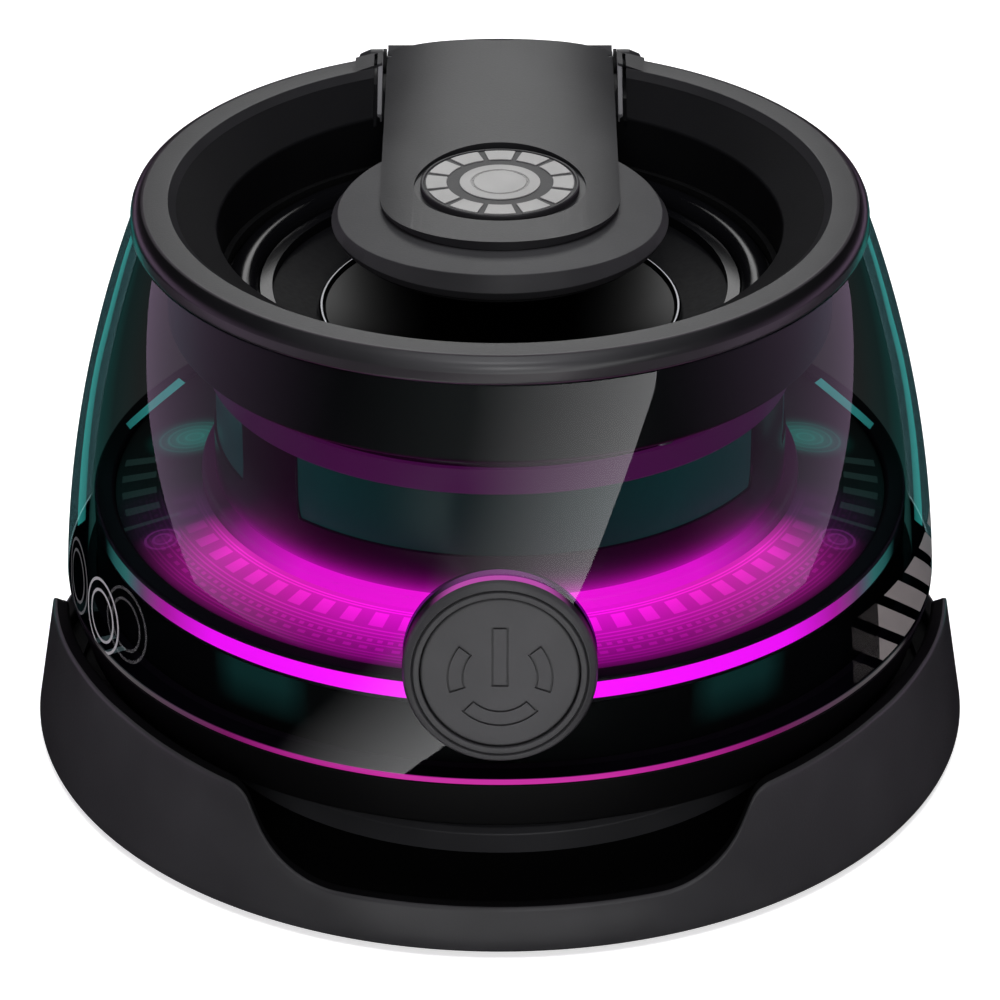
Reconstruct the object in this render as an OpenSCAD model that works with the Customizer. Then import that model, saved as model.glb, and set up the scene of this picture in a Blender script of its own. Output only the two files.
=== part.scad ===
// Small table speaker with a flip-up magnetic phone arm, a clear lit shell and a scooped base.
// Sizes are in millimetres. The origin is on the table under the middle; the button faces -Y.

/* [Base] */
// Height of the base wall at the three sound outlets
lip_h = 5; // [3.8:0.1:6]
// Height of the wings at their middle
wing_h = 14; // [13:0.1:15]
// How much lower a wing is at its shoulders than at its middle
wing_arch = 1.2; // [0.4:0.1:1.6]
// Width of an outlet between the shoulders of its wings
outlet_w = 52; // [46:1:56]
// Radius of the hollow curve at the foot of a wing
outlet_curve = 9; // [6:0.5:10]
// Thickness of the base wall
base_wall = 1.6; // [1.2:0.1:2]
// Inward lean of the base wall in degrees
base_lean = 9.4; // [6:0.2:12]
// Gap between the wings and the body
wing_gap = 0.8; // [0.6:0.1:1.5]
// Thickness of the base plate
plate_t = 1.2; // [1:0.1:1.6]
// Height of the reflector on the base plate
reflector_h = 6.4; // [4:0.2:7]
// Gap between the reflector and the base's columns
reflector_gap = 2.1; // [1:0.1:5]
// How far the rubber foot stands out
foot_h = 0.4; // [0.3:0.1:0.8]
// Width of the rubber foot ring
foot_w = 4; // [3:0.2:5]
// Shank diameter of the base screws
base_screw_d = 2; // [1.6:0.1:2.4]

/* [Body] */
// Height of the body's underside above the table
body_lift = 11.3; // [10.5:0.1:12]
// Height of the dark tub under the shell
tub_h = 5.7; // [5.4:0.1:7]
// How much the tub narrows to its lower edge
tub_taper = 1.7; // [0.8:0.1:2.4]
// Thickness of the tub's walls
tub_wall = 1.6; // [1.2:0.1:2]
// Thickness of the thin light ring under the shell
edge_light_t = 0.7; // [0.5:0.1:1]
// Largest diameter of the body's outline
body_d = 89.4; // [86:0.2:94]
// Radius of the shell's curve in side view
shell_curve = 127; // [115:1:160]
// Depth of the widest place below the shell's foot
widest_drop = 7.1; // [4:0.1:9]
// Height of the clear shell
shell_h = 37.8; // [36.5:0.1:39.5]
// Thickness of the clear shell
shell_wall = 2; // [1.6:0.1:2.2]

/* [Rim] */
// Height of the rim above the shell
rim_h = 2.6; // [2.2:0.1:3]
// Width of the rim's flat top
rim_flat = 2.3; // [1.6:0.1:2.8]
// Height of the rim's inner bevel
rim_bevel = 0.7; // [0.4:0.1:1]
// Depth of the sloped mouth under the bevel
mouth_h = 2.6; // [2:0.1:3.2]

/* [Core] */
// Space between the core and the shell's inside at the top
core_space = 5.5; // [5.2:0.1:6.5]
// Thickness of the core's wall
core_wall = 1.8; // [1.5:0.1:2.1]
// Depth of the core's top below the shell's top
core_drop = 8.9; // [8.4:0.1:9.6]
// Number of windows round the core
window_n = 3; // [2:1:5]
// Dark gap between two windows, in degrees
window_gap = 18; // [10:1:30]
// Height of the windows
window_h = 6.9; // [5:0.1:8]
// Thickness of the window panels
window_t = 0.8; // [0.6:0.1:1]
// Height of the coloured band over the windows
band_h = 2.7; // [1.5:0.1:3.2]
// Turn of the windows round the core in degrees
window_turn = 8; // [-20:1:20]

/* [Lights and deck] */
// Height of the thick light ring
ring_h = 2.6; // [2:0.1:3]
// Width of the thick light ring
ring_w = 2.1; // [1.6:0.1:2.6]
// Height of the collar that carries it, above the tub
collar_h = 6.8; // [6.2:0.1:7.4]
// Thickness of the deck
deck_t = 1.2; // [0.8:0.1:1.4]
// How much higher the deck is at the core
deck_rise = 1.5; // [0.8:0.1:2]
// Number of lamps in each of the two lamp rings
lamp_n = 18; // [9:3:24]
// Thickness of the circuit boards
board_t = 1.2; // [0.8:0.1:1.2]

/* [Driver] */
// Diameter of the voice coil
coil_d = 19.8; // [18:0.2:21]
// Diameter of the driver's magnet
magnet_d = 33; // [30:1:38]
// Thickness of the driver's magnet
magnet_t = 4; // [3:0.2:5]
// Thickness of the magnet's steel plates
steel_t = 2; // [1.6:0.1:2.4]
// Radius of the surround's roll
roll_r = 1.55; // [1.2:0.05:1.7]
// Slope of the cone in degrees
cone_slope = 22.2; // [20:0.2:24]
// Diameter of the bright ring on the cone
trim_d = 35.8; // [32:0.2:38]
// Space between the passive radiator and the core's wall
radiator_space = 1.6; // [1:0.1:4]
// Radius of the passive radiator's roll
radiator_roll = 2.2; // [1.8:0.1:2.4]

/* [Arm] */
// Width of the arm
arm_w = 23.8; // [20:0.2:25]
// Place of the arm's rounded end behind the front, as the Y of its middle
arm_end_y = -0.6; // [-3:0.1:1]
// Thickness of the arm at its front end
arm_t = 1.15; // [1.1:0.05:1.6]
// Radius of the arm's crowned top
arm_crown = 90; // [80:1:140]
// Distance of the hinge inside the rim's outer edge
hinge_in = 2.6; // [2.3:0.1:3]
// Largest radius of the arm's hinge barrel
barrel_r = 2.3; // [2.1:0.05:2.5]
// Diameter of the hinge pin
pin_d = 1.5; // [1:0.1:1.6]
// Gap on each side of the arm
arm_gap = 0.45; // [0.35:0.05:0.6]
// Width of each hinge ear
ear_w = 2.5; // [2:0.1:3]
// Diameter of the magnet holder
holder_d = 32.6; // [30:0.2:36]
// Thickness of the magnet holder
holder_t = 2.8; // [2.6:0.1:3.4]
// Thickness of the soft pad on the holder
pad_t = 0.6; // [0.4:0.1:1]
// Diameter of the badge
badge_d = 15.8; // [12:0.2:17]
// Place of the badge behind the middle
badge_y = 1.5; // [0:0.1:3]
// Number of magnets in the ring
magnet_n = 12; // [8:1:16]

/* [Button] */
// Outer diameter of the button's ring
button_d = 18.3; // [16:0.1:19]
// Diameter of the moving cap
cap_d = 14.9; // [13:0.1:15.2]
// Height of the button's middle above the shell's foot
button_rise = 12.2; // [11.5:0.1:13.5]
// How far the button's ring stands out of the shell
button_proud = 1.4; // [1:0.1:1.8]
// Travel of the cap
press_travel = 0.35; // [0.2:0.05:0.4]
// Middle radius of the sign's arcs
sign_r = 4.2; // [3:0.1:4.8]
// Width of the sign's strokes
sign_w = 1.3; // [0.8:0.1:1.6]
// Length of the sign's upright bar
sign_bar = 5.8; // [4:0.1:6.2]
// Depth of the sign in the cap
sign_depth = 0.25; // [0.15:0.05:0.4]

/* [Electronics] */
// Width of the battery cell
cell_w = 28; // [20:1:29]
// Thickness of the battery cell
cell_t = 5.6; // [4:0.2:6]
// Gap between the main board and the core's wall
main_board_gap = 0.7; // [0.4:0.1:3]
// Gap between the main board's opening and the driver's magnet
magnet_gap = 0.9; // [0.5:0.1:1.5]
// Width of the radio module, across the board's ring
radio_w = 7; // [5:0.2:7.4]
// Length of the radio module
radio_l = 10; // [8:0.2:11]
// Side of the largest chip
chip_w = 5; // [3:0.2:6]

/* [Clearances] */
// Gap between seated pieces
seat = 0.05; // [0.02:0.01:0.1]
// Gap round pieces that slide or turn
run = 0.05; // [0.03:0.01:0.08]
// Free gap between pieces that move apart
free = 0.3; // [0.2:0.05:0.4]

/* [Hidden] */
$fn = 96;

// heights of the main seams
tub_z = body_lift;
tub_top = tub_z + tub_h;
shell_z = tub_top + edge_light_t;
shell_top = shell_z + shell_h;
rim_z = shell_top + rim_h;
floor_z = tub_z + tub_wall;
widest_z = shell_z - widest_drop;

// outline of the shell
function shell_r(z) = body_d / 2 - shell_curve
    + sqrt(shell_curve * shell_curve - (z - widest_z) * (z - widest_z));
function shell_in(z) = shell_r(z) - shell_wall;
tub_r_top = shell_r(shell_z);
tub_r_low = tub_r_top - tub_taper;
function tub_r(z) = tub_r_low + tub_taper * (z - tub_z) / tub_h;

// base
lean = tan(base_lean);
base_r = tub_r(wing_h) + wing_gap + base_wall + wing_h * lean;
function base_out(z) = base_r - z * lean;
function base_in(z) = base_out(z) - base_wall;
plate_z = foot_h;
plate_top = plate_z + plate_t;
plate_r = base_in(plate_top) - 2 * seat;
column_r = 3.4;
column_at = tub_r_low - 6.8;
shoulder_z = wing_h - wing_arch;
reflector_r = column_at - column_r - reflector_gap;
foot_r = base_in(0) - 2.6;

// collar, rings and deck
collar_top = tub_top + collar_h;
collar_r = shell_in(collar_top + ring_h) - free;
collar_in = collar_r - tub_wall;
ledge_z = collar_top - board_t - 0.4;
ring_top = collar_top + ring_h;
ring_in = collar_r - ring_w;
ring_ledge = 0.9;
core_r = shell_in(shell_top) - core_space;
core_in = core_r - core_wall;
core_z = shell_top - core_drop;
core_flange = 1.4;
radiator_r = core_in - radiator_space - 9.6;
deck_out = ring_in - seat;
deck_in = core_r + core_flange + 2 * seat;
deck_low = collar_top + ring_ledge + seat;
flange_z = deck_low + deck_rise - 1.7;

// windows and band
band_top = core_z - 3.7;
band_low = band_top - band_h;
window_top = band_low - 0.3;
window_low = window_top - window_h;
window_span = 360 / window_n - window_gap;

// driver, measured from the core's top
frame_t = 1.2;
frame_z = core_z + frame_t;
flange_r = core_r - 0.1;
roll_at = core_in - roll_r - 0.05;
roll_drop = 0.35;
gasket_t = 1.1;
surround_t = 0.5;
gasket_z = frame_z + surround_t;
throat_z = gasket_z + gasket_t + seat;
throat_r = core_r - 1;
cone_t = 0.5;
cone_out = roll_at - roll_r - 0.1;
cone_z = gasket_z - surround_t - cone_t - 0.1;
function cone_top(r) = cone_z + cone_t - (cone_out - r) * tan(cone_slope);
coil_r = coil_d / 2;
former_t = 0.3;
trim_r = trim_d / 2;
cap_r = trim_r - 0.45;
spider_z = cone_top(coil_r) - 3.2;
plate_gap = 0.7;
top_plate_z = spider_z - 2.7 - steel_t;
magnet_z = top_plate_z - magnet_t;
yoke_z = magnet_z - steel_t;
spider_r = magnet_d / 2 + 2;

// rim and mouth
rim_out = shell_r(shell_top) + 0.1;
flat_out = rim_out - 1.5;
flat_in = flat_out - rim_flat;
bevel_in = flat_in - 0.8;
mouth_z = rim_z - rim_bevel - mouth_h;
throat_wall = 1.1;
cup_r = shell_in(shell_top) - 1.3;
cup_in = core_r + 0.25;
cup_wall = 1.2;
cup_z = core_z - 1.2;
cup_flange_r = shell_in(shell_top) - free;
boss_at = (cup_in + cup_r - cup_wall) / 2;
boss_r = (cup_r - cup_wall - cup_in) / 2 - 0.12;

// arm and hinge
hinge_y = rim_out - hinge_in;
hinge_z = rim_z - 1.1;
arm_half = arm_w / 2;
slot_half = arm_half + arm_gap;
pin_r = pin_d / 2;
pin_end = slot_half + ear_w - 0.5;
ear_r = 1.75;
arm_z = rim_z - 0.9;
arm_rise = atan((hinge_z + barrel_r - 0.2 - arm_z - arm_t) / (hinge_y - arm_end_y + arm_half));
barrel_clear = barrel_r + free;
holder_r = holder_d / 2;
holder_z = arm_z - holder_t;
badge_z = arm_z + 0.72;
arm_screw_x = 5;
pocket_in = 8.6;
pocket_out = holder_r - 1.7;
pocket_h = holder_t - 0.8;

// button
button_z = shell_z + button_rise;
button_lean = asin((button_z - widest_z) / shell_curve);
button_r = button_d / 2;
bore_r = cap_d / 2 + 0.12;
room_r = button_r + 2.2;
room_depth = (shell_r(button_z) + button_proud - core_r) / cos(button_lean)
    + 2 * room_r * tan(button_lean);
wall_in = -button_proud - shell_wall;
sign_drop = 0.4;
stop_z = -3.4;
stop_t = 0.8;
barb_t = 0.35;
plunger_top = stop_z - seat - barb_t;
switch_top = plunger_top - 0.6;
switch_h = 3.4;
switch_low = switch_top - switch_h;
button_board_t = 1;

// usb socket, under its own board, at the outlet on the right of the back
usb_turn = 120;
usb_w = 8.94;
usb_h = 3.16;
usb_l = 7.3;
usb_z = floor_z + 0.1 + usb_h / 2;
usb_front = tub_r(usb_z) - 0.4;

// electronics in the core
tray_z = floor_z + 3.9;
tray_t = 1.2;
cell_z = tray_z + tray_t;
post_top = cell_z + cell_t + 0.5;
post_x = 8;
post_y = cell_w / 2 + 6.5;
board_z = post_top;
cell_l = 2 * sqrt(pow(core_in - 1, 2) - pow(cell_w / 2, 2));
main_board_r = core_in - main_board_gap;
main_board_in = magnet_d / 2 + magnet_gap;
parts_at = (main_board_in + main_board_r) / 2;

module ring(r_out, r_in, z0, z1) {
    translate([0, 0, z0])
        difference() {
            cylinder(r = r_out, h = z1 - z0);
            translate([0, 0, -1])
                cylinder(r = r_in, h = z1 - z0 + 2);
        }
}

module sector(r_out, r_in, z0, z1, a0, a1) {
    rotate([0, 0, a0])
        rotate_extrude(angle = a1 - a0)
            translate([r_in, z0])
                square([r_out - r_in, z1 - z0]);
}

// places a piece at the button, with +Z out of the shell and +Y up
module at_button() {
    translate([0, -shell_r(button_z), button_z])
        rotate([90 - button_lean, 0, 0])
            translate([0, 0, button_proud])
                children();
}

module at_columns() {
    for (a = [60, 180, 300])
        rotate([0, 0, a])
            translate([0, -column_at, 0])
                children();
}

module at_cup_screws() {
    for (a = [30, 150, 270])
        rotate([0, 0, a])
            translate([0, -boss_at, 0])
                children();
}

// room for the button's housing in the rings behind the shell
module button_room() {
    at_button()
        translate([0, 0, -room_depth])
            cylinder(r = room_r, h = room_depth - 1);
}

// one side of an outlet's edge, from the lip up to the middle of a wing
steep = 62;
wing_end = 0.92 * base_out(wing_h) * sin(60);
shoulder_r = 2.5;
wing_slope = atan(wing_arch / (wing_end - outlet_w / 2));
curve_top = lip_h + outlet_curve * (1 - cos(steep));
turn_low = shoulder_z - shoulder_r * (cos(wing_slope) - cos(steep));
turn_run = (turn_low - curve_top) / tan(steep);
curve_x = outlet_w / 2 - outlet_curve * sin(steep) - turn_run
    - shoulder_r * (sin(steep) - sin(wing_slope));
outlet_side = concat(
    [for (i = [0:8]) [curve_x + outlet_curve * sin(steep * i / 8),
        lip_h + outlet_curve * (1 - cos(steep * i / 8))]],
    [for (i = [0:5]) let (a = steep + (wing_slope - steep) * i / 5)
        [outlet_w / 2 + shoulder_r * (sin(wing_slope) - sin(a)),
        shoulder_z - shoulder_r * (cos(wing_slope) - cos(a))]],
    [[wing_end, wing_h]]);

module outlet_cut() {
    far = 0.92 * base_r;
    edge = concat(outlet_side,
        [[far, wing_h], [far, wing_h + 9], [0, wing_h + 9], [0, lip_h]]);
    for (m = [0, 1])
        mirror([m, 0, 0])
            translate([0, -base_r * 0.33, 0])
                rotate([90, 0, 0])
                    linear_extrude(height = base_r)
                        polygon(edge);
}

module base_ring() {
    color("#3a3a3d")
        difference() {
            rotate_extrude()
                polygon([
                    [base_out(foot_h), foot_h],
                    [base_out(wing_h + 2), wing_h + 2],
                    [base_in(wing_h + 2), wing_h + 2],
                    [base_in(plate_top + 1.2), plate_top + 1.2],
                    [base_in(plate_top) - 2.4, plate_top + 1.2],
                    [base_in(plate_top) - 2.4, plate_top + seat],
                    [base_in(plate_top), plate_top + seat],
                    [base_in(foot_h), foot_h]]);
            for (a = [0, 120, 240])
                rotate([0, 0, a])
                    outlet_cut();
        }
}

module base_plate() {
    color("#1d1d1f")
        difference() {
            union() {
                translate([0, 0, plate_z])
                    cylinder(r = plate_r, h = plate_t);
                at_columns()
                    translate([0, 0, plate_top - 0.2])
                        cylinder(r = column_r, h = tub_z - plate_top + 0.2);
            }
            ring(foot_r, foot_r - foot_w, plate_z - 1, plate_z + plate_t / 2);
            at_columns() {
                translate([0, 0, plate_z - 1])
                    cylinder(d = base_screw_d + 2 * free, h = tub_z + 2);
                translate([0, 0, plate_z - 1])
                    cylinder(d = 2.3 * base_screw_d, h = 4.6);
            }
        }
}

module foot_ring() {
    color("#141414")
        ring(foot_r - seat, foot_r - foot_w + seat, 0, plate_z + plate_t / 2);
}

module reflector() {
    color("#2a2a2c")
        rotate_extrude()
            polygon(concat(
                [[0, plate_top], [reflector_r, plate_top], [reflector_r - 0.2, plate_top + 2.3]],
                [for (i = [0:10]) let (t = 1 - i / 10)
                    [(reflector_r - 0.8) * t, plate_top + 2.7 + (reflector_h - 2.7)
                        * pow(1 - t, 1.7)]]));
}

module base_screws() {
    color("#9a9a9a")
        at_columns() {
            translate([0, 0, plate_z + 3.6 - 1.5])
                cylinder(r = base_screw_d * 1.05, h = 1.5);
            translate([0, 0, plate_z + 3.5])
                cylinder(d = base_screw_d, h = tub_z + 5 - plate_z - 3.5);
        }
}

module lower_tub() {
    hole_r = radiator_r + 6;
    color("#18181a")
        difference() {
            union() {
                rotate_extrude()
                    polygon([
                        [hole_r, tub_z],
                        [tub_r_low, tub_z],
                        [tub_r_top, tub_top],
                        [collar_r, tub_top],
                        [collar_r, collar_top],
                        [collar_in, collar_top],
                        [collar_in, ledge_z],
                        [collar_in - 1.6, ledge_z],
                        [collar_in - 1.6, ledge_z - 1],
                        [collar_in, ledge_z - 2.6],
                        [collar_in, floor_z],
                        [hole_r, floor_z]]);
                at_columns()
                    translate([0, 0, floor_z - 0.2])
                        cylinder(r = 2.8, h = 5.8);
                rotate([0, 0, usb_turn])
                    for (x = [-5.6, 5.6])
                        translate([x, -collar_in + 8.6, floor_z - 0.2])
                            cylinder(r = 1.1, h = usb_h + 0.3);
            }
            at_columns()
                translate([0, 0, tub_z - 1])
                    cylinder(d = base_screw_d + 2 * run, h = 6.6);
            rotate([0, 0, usb_turn])
                translate([0, -collar_in + 1, usb_z])
                    rotate([90, 0, 0])
                        linear_extrude(height = 9)
                            slot_shape(usb_w + 0.6, usb_h + 0.18);
            button_room();
        }
}

module slot_shape(w, h) {
    square([w - h, h], center = true);
    for (s = [-1, 1])
        translate([s * (w - h) / 2, 0])
            circle(d = h);
}

module radiator_surround() {
    r_mid = radiator_r + radiator_roll + 0.7;
    roll_in = radiator_roll - 0.6;
    color("#101010")
        rotate_extrude()
            difference() {
                union() {
                    translate([r_mid, floor_z])
                        circle(r = radiator_roll);
                    translate([radiator_r - 1.6, floor_z])
                        square([11.2, 0.6]);
                }
                translate([r_mid, floor_z])
                    circle(r = roll_in);
                translate([r_mid - radiator_roll - 0.4, floor_z + 0.6])
                    square([2 * radiator_roll + 0.8, 3]);
                translate([r_mid - roll_in, floor_z])
                    square([2 * roll_in, 3]);
            }
}

module radiator_plate() {
    color("#4a4a4c")
        rotate_extrude()
            polygon([
                [0, floor_z - 0.8],
                [radiator_r - 1.9, floor_z - 0.8],
                [radiator_r - 1.9, floor_z + 0.6 + seat],
                [radiator_r - 0.6, floor_z + 0.6 + seat],
                [radiator_r - 0.6, floor_z + 1.8],
                [0, floor_z + 1.8]]);
}

module edge_light() {
    color("#ff5fe0")
        ring(tub_r_top - 0.05, collar_r + 0.2, tub_top, shell_z);
}

module charge_board() {
    z = usb_z + usb_h / 2 + 0.1;
    color("#1f4a2c")
        rotate([0, 0, usb_turn])
            translate([-7, -collar_in + 0.9, z])
                cube([14, collar_in - 0.9 - core_r - free, board_t]);
}

module usb_socket() {
    color("#b8bcc0")
        rotate([0, 0, usb_turn])
            translate([0, -usb_front + usb_l, usb_z])
                rotate([90, 0, 0]) {
                    difference() {
                        linear_extrude(height = usb_l)
                            slot_shape(usb_w, usb_h);
                        translate([0, 0, 0.8])
                            linear_extrude(height = usb_l)
                                slot_shape(usb_w - 0.6, usb_h - 0.6);
                    }
                    translate([-3.35, -0.35, 0.4])
                        cube([6.7, 0.7, usb_l - 1.4]);
                }
}

module lamp_board() {
    color("#1f4a2c")
        difference() {
            ring(collar_in - 2 * seat, core_r + free, ledge_z, ledge_z + board_t);
            button_room();
        }
}

module lamps() {
    r_a = core_r + 3.2;
    r_b = collar_in - 3.4;
    step = 360 / lamp_n;
    color("#f4f0e8")
        for (i = [0:lamp_n - 1])
            rotate([0, 0, (i + 0.5) * step])
                for (r = [r_a, r_b])
                    if (min(i + 0.5, lamp_n - i - 0.5) * step > 22)
                        translate([-1, -r - 1, ledge_z + board_t])
                            cube([2, 2, 0.7]);
}

module light_ring() {
    color("#ff30ff")
        difference() {
            rotate_extrude()
                polygon([
                    [ring_in - 1.2, collar_top],
                    [collar_r, collar_top],
                    [collar_r, ring_top],
                    [ring_in, ring_top],
                    [ring_in, collar_top + ring_ledge],
                    [ring_in - 1.2, collar_top + ring_ledge]]);
            button_room();
        }
}

module deck() {
    color("#26202a")
        difference() {
            rotate_extrude()
                polygon([
                    [deck_in, deck_low + deck_rise],
                    [deck_out, deck_low],
                    [deck_out, deck_low + deck_t],
                    [deck_in, deck_low + deck_rise + deck_t]]);
            button_room();
        }
}

module core_light() {
    color("#ff70ff")
        ring(core_r + core_flange, core_r + seat, flange_z + 1.2 + seat,
            deck_low + deck_rise + deck_t + 1.2);
}

module core() {
    color("#121214")
        difference() {
            rotate_extrude()
                polygon([
                    [core_in, floor_z],
                    [core_r, floor_z],
                    [core_r, flange_z - 0.6],
                    [core_r + core_flange, flange_z],
                    [core_r + core_flange, flange_z + 1.2],
                    [core_r, flange_z + 1.2],
                    [core_r, core_z],
                    [core_in, core_z],
                    [core_in, tray_z],
                    [core_in - 1.6, tray_z],
                    [core_in - 1.6, tray_z - 1.2],
                    [core_in, tray_z - 2.4]]);
            for (i = [0:window_n - 1])
                rotate([0, 0, i * 360 / window_n + window_turn - 90])
                    sector(core_r + 1, core_r - window_t - seat, window_low, window_top,
                        -window_span / 2, window_span / 2);
        }
}

module core_windows() {
    side = window_span / 2 - 0.15;
    color("#0f3a3c")
        for (i = [0:window_n - 1])
            rotate([0, 0, i * 360 / window_n + window_turn - 90])
                sector(core_r - 0.05, core_r - window_t, window_low + seat, window_top - seat,
                    -side, side);
}

module core_band() {
    color("#6a1a6a")
        ring(core_r + 0.55, core_r + seat, band_low, band_top);
}

module cell_tray() {
    color("#303034")
        difference() {
            union() {
                translate([0, 0, tray_z])
                    cylinder(r = core_in - 2 * seat, h = tray_t);
                for (x = [-post_x, post_x], y = [-post_y, post_y])
                    translate([x, y, tray_z + 0.2])
                        cylinder(r = 1.8, h = post_top - tray_z - 0.2);
            }
            for (x = [-post_x, post_x], y = [-post_y, post_y])
                translate([x, y, post_top - 4])
                    cylinder(r = 0.7 + run, h = 5);
            for (a = [0, 180])
                rotate([0, 0, a])
                    translate([-5, cell_w / 2 + 2, tray_z - 1])
                        cube([10, 7, tray_t + 2]);
        }
}

module battery_cell() {
    color("#8d949c")
        translate([-cell_l / 2, -cell_w / 2, cell_z])
            cube([cell_l, cell_w, cell_t]);
}

module main_board() {
    color("#1f4a2c")
        difference() {
            translate([0, 0, board_z])
                cylinder(r = main_board_r, h = board_t);
            translate([0, 0, board_z - 1])
                cylinder(r = main_board_in, h = board_t + 2);
            for (x = [-post_x, post_x], y = [-post_y, post_y])
                translate([x, y, board_z - 1])
                    cylinder(r = 0.9, h = board_t + 2);
        }
}

module radio_module() {
    color("#a9adb2")
        translate([-parts_at - radio_w / 2, -radio_l / 2, board_z + board_t])
            cube([radio_w, radio_l, 1.4]);
}

// each part is a turn round the board, a width, a length and a height
module board_parts() {
    parts = [[0, chip_w, chip_w, 0.9], [32, 4, 6, 1], [-32, 4, 4, 1.2], [90, 3, 6, 1.4],
        [-90, 3, 6, 1.4], [148, 4, 4, 1.2]];
    color("#1a1a1c")
        for (p = parts)
            rotate([0, 0, p[0]])
                translate([parts_at - p[1] / 2, -p[2] / 2, board_z + board_t])
                    cube([p[1], p[2], p[3]]);
}

module board_screws() {
    color("#9a9a9a")
        for (x = [-post_x, post_x], y = [-post_y, post_y])
            translate([x, y, 0]) {
                translate([0, 0, board_z + board_t])
                    cylinder(r = 1.4, h = 0.9);
                translate([0, 0, board_z - 3])
                    cylinder(r = 0.7, h = board_t + 3.2);
            }
}

module driver_yoke() {
    color("#8c8f94") {
        translate([0, 0, yoke_z])
            cylinder(r = magnet_d / 2 - 1, h = steel_t);
        translate([0, 0, yoke_z + steel_t - 0.2])
            cylinder(r = coil_r - former_t - plate_gap + 0.3, h = magnet_t + steel_t + 0.2);
    }
}

module driver_magnet() {
    color("#2e2e30")
        ring(magnet_d / 2, coil_r + 2.2, magnet_z, top_plate_z);
}

module driver_top_plate() {
    color("#8c8f94")
        ring(magnet_d / 2 - 1, coil_r + 0.3 + plate_gap - 0.3, top_plate_z, top_plate_z + steel_t);
}

module driver_frame() {
    z0 = top_plate_z + steel_t;
    z1 = spider_z;
    r0 = spider_r;
    color("#232326")
        difference() {
            rotate_extrude()
                polygon([
                    [coil_r + 2.4, z0],
                    [r0 + 1.4, z0],
                    [r0 + 1.4, z1 - 0.4],
                    [core_in - 0.3, core_z - 1.4],
                    [core_in - 0.3, core_z],
                    [flange_r, core_z],
                    [flange_r, frame_z],
                    [roll_at - roll_r + 0.4, frame_z],
                    [roll_at - roll_r + 0.4, frame_z - 1.2],
                    [r0 + 0.2, z1 + 1.2],
                    [r0 + 0.2, z1],
                    [r0 - 2, z1],
                    [r0 - 2, z0 + 1.2],
                    [coil_r + 2.4, z0 + 1.2]]);
            for (i = [0:5])
                rotate([0, 0, 30 + i * 60])
                    translate([r0 + 2.2, -4, z1 + 0.9])
                        cube([core_in - r0 - 3.2, 8, core_z - z1 - 2.1]);
        }
}

module spider() {
    n = 3;
    r_a = coil_r + former_t + seat;
    pitch = (spider_r - 1.2 - r_a - 0.8) / n;
    color("#c9a24a")
        rotate_extrude() {
            translate([r_a, spider_z])
                square([spider_r - r_a, 0.35]);
            for (i = [0:n - 1])
                translate([r_a + 0.8 + (i + 0.5) * pitch, spider_z + 0.1])
                    difference() {
                        circle(r = 0.7);
                        translate([-1, -1])
                            square([2, 1]);
                    }
        }
}

module voice_coil() {
    z1 = cone_top(coil_r - former_t) - cone_t - seat;
    color("#b5703a") {
        ring(coil_r + 0.01, coil_r - former_t, top_plate_z - 1, z1);
        ring(coil_r + former_t, coil_r - former_t / 2, top_plate_z - 0.8,
            top_plate_z + steel_t + 0.8);
        ring(coil_r + former_t, coil_r - former_t / 2, z1 - 0.8, z1);
    }
}

module cone() {
    r_a = coil_r - former_t;
    color("#1c1c1e")
        rotate_extrude()
            polygon([
                [r_a, cone_top(r_a) - cone_t],
                [cone_out, cone_z],
                [cone_out, cone_z + cone_t],
                [r_a, cone_top(r_a)]]);
}

module surround() {
    color("#141416")
        rotate_extrude()
            difference() {
                union() {
                    translate([roll_at, gasket_z - roll_drop])
                        circle(r = roll_r);
                    translate([cone_out - 1.2, cone_z + cone_t + seat])
                        square([roll_at - cone_out, gasket_z - cone_z - cone_t - seat]);
                    translate([roll_at, frame_z])
                        square([flange_r - roll_at, surround_t]);
                }
                translate([roll_at, gasket_z - roll_drop])
                    circle(r = roll_r - surround_t);
                translate([roll_at - roll_r - 0.6, frame_z - 4])
                    square([2 * roll_r + 1, 4]);
                translate([roll_at - roll_r + surround_t, frame_z - 1])
                    square([2 * roll_r - 2 * surround_t, 1 + gasket_z - frame_z - roll_drop]);
            }
}

module dust_cap() {
    edge_z = cone_top(cap_r) + 0.12;
    sag = 2;
    color("#0c0c0e")
        rotate_extrude()
            polygon(concat(
                [for (i = [0:10]) let (r = cap_r * i / 10) [r, edge_z - sag + sag * pow(i / 10, 2)]],
                [for (i = [0:10]) let (r = cap_r * (1 - i / 10))
                    [r, edge_z + 0.4 - sag + sag * pow(1 - i / 10, 2)]]));
}

module trim_ring() {
    z = cone_top(trim_r + 0.35) + seat;
    color("#d8dade")
        rotate_extrude()
            polygon([
                [trim_r - 0.35, z],
                [trim_r + 0.35, z],
                [trim_r + 0.35, z + 0.3],
                [trim_r + 0.15, z + 0.55],
                [trim_r - 0.15, z + 0.55],
                [trim_r - 0.35, z + 0.3]]);
}

module frame_gasket() {
    color("#1a1a1a")
        ring(flange_r, core_in + 0.2, gasket_z, gasket_z + gasket_t);
}

module driver_cup() {
    color("#0e0e10")
        difference() {
            rotate_extrude()
                polygon([
                    [cup_in, cup_z],
                    [cup_r, cup_z],
                    [cup_r, shell_top - 1.2],
                    [cup_flange_r, shell_top - 1.2],
                    [cup_flange_r, shell_top],
                    [cup_r - cup_wall, shell_top],
                    [cup_r - cup_wall, cup_z + 1.2],
                    [cup_in, cup_z + 1.2]]);
            at_cup_screws()
                translate([0, 0, cup_z - 1])
                    cylinder(r = 0.7 + free / 2, h = 4);
            hinge_room();
        }
}

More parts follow.
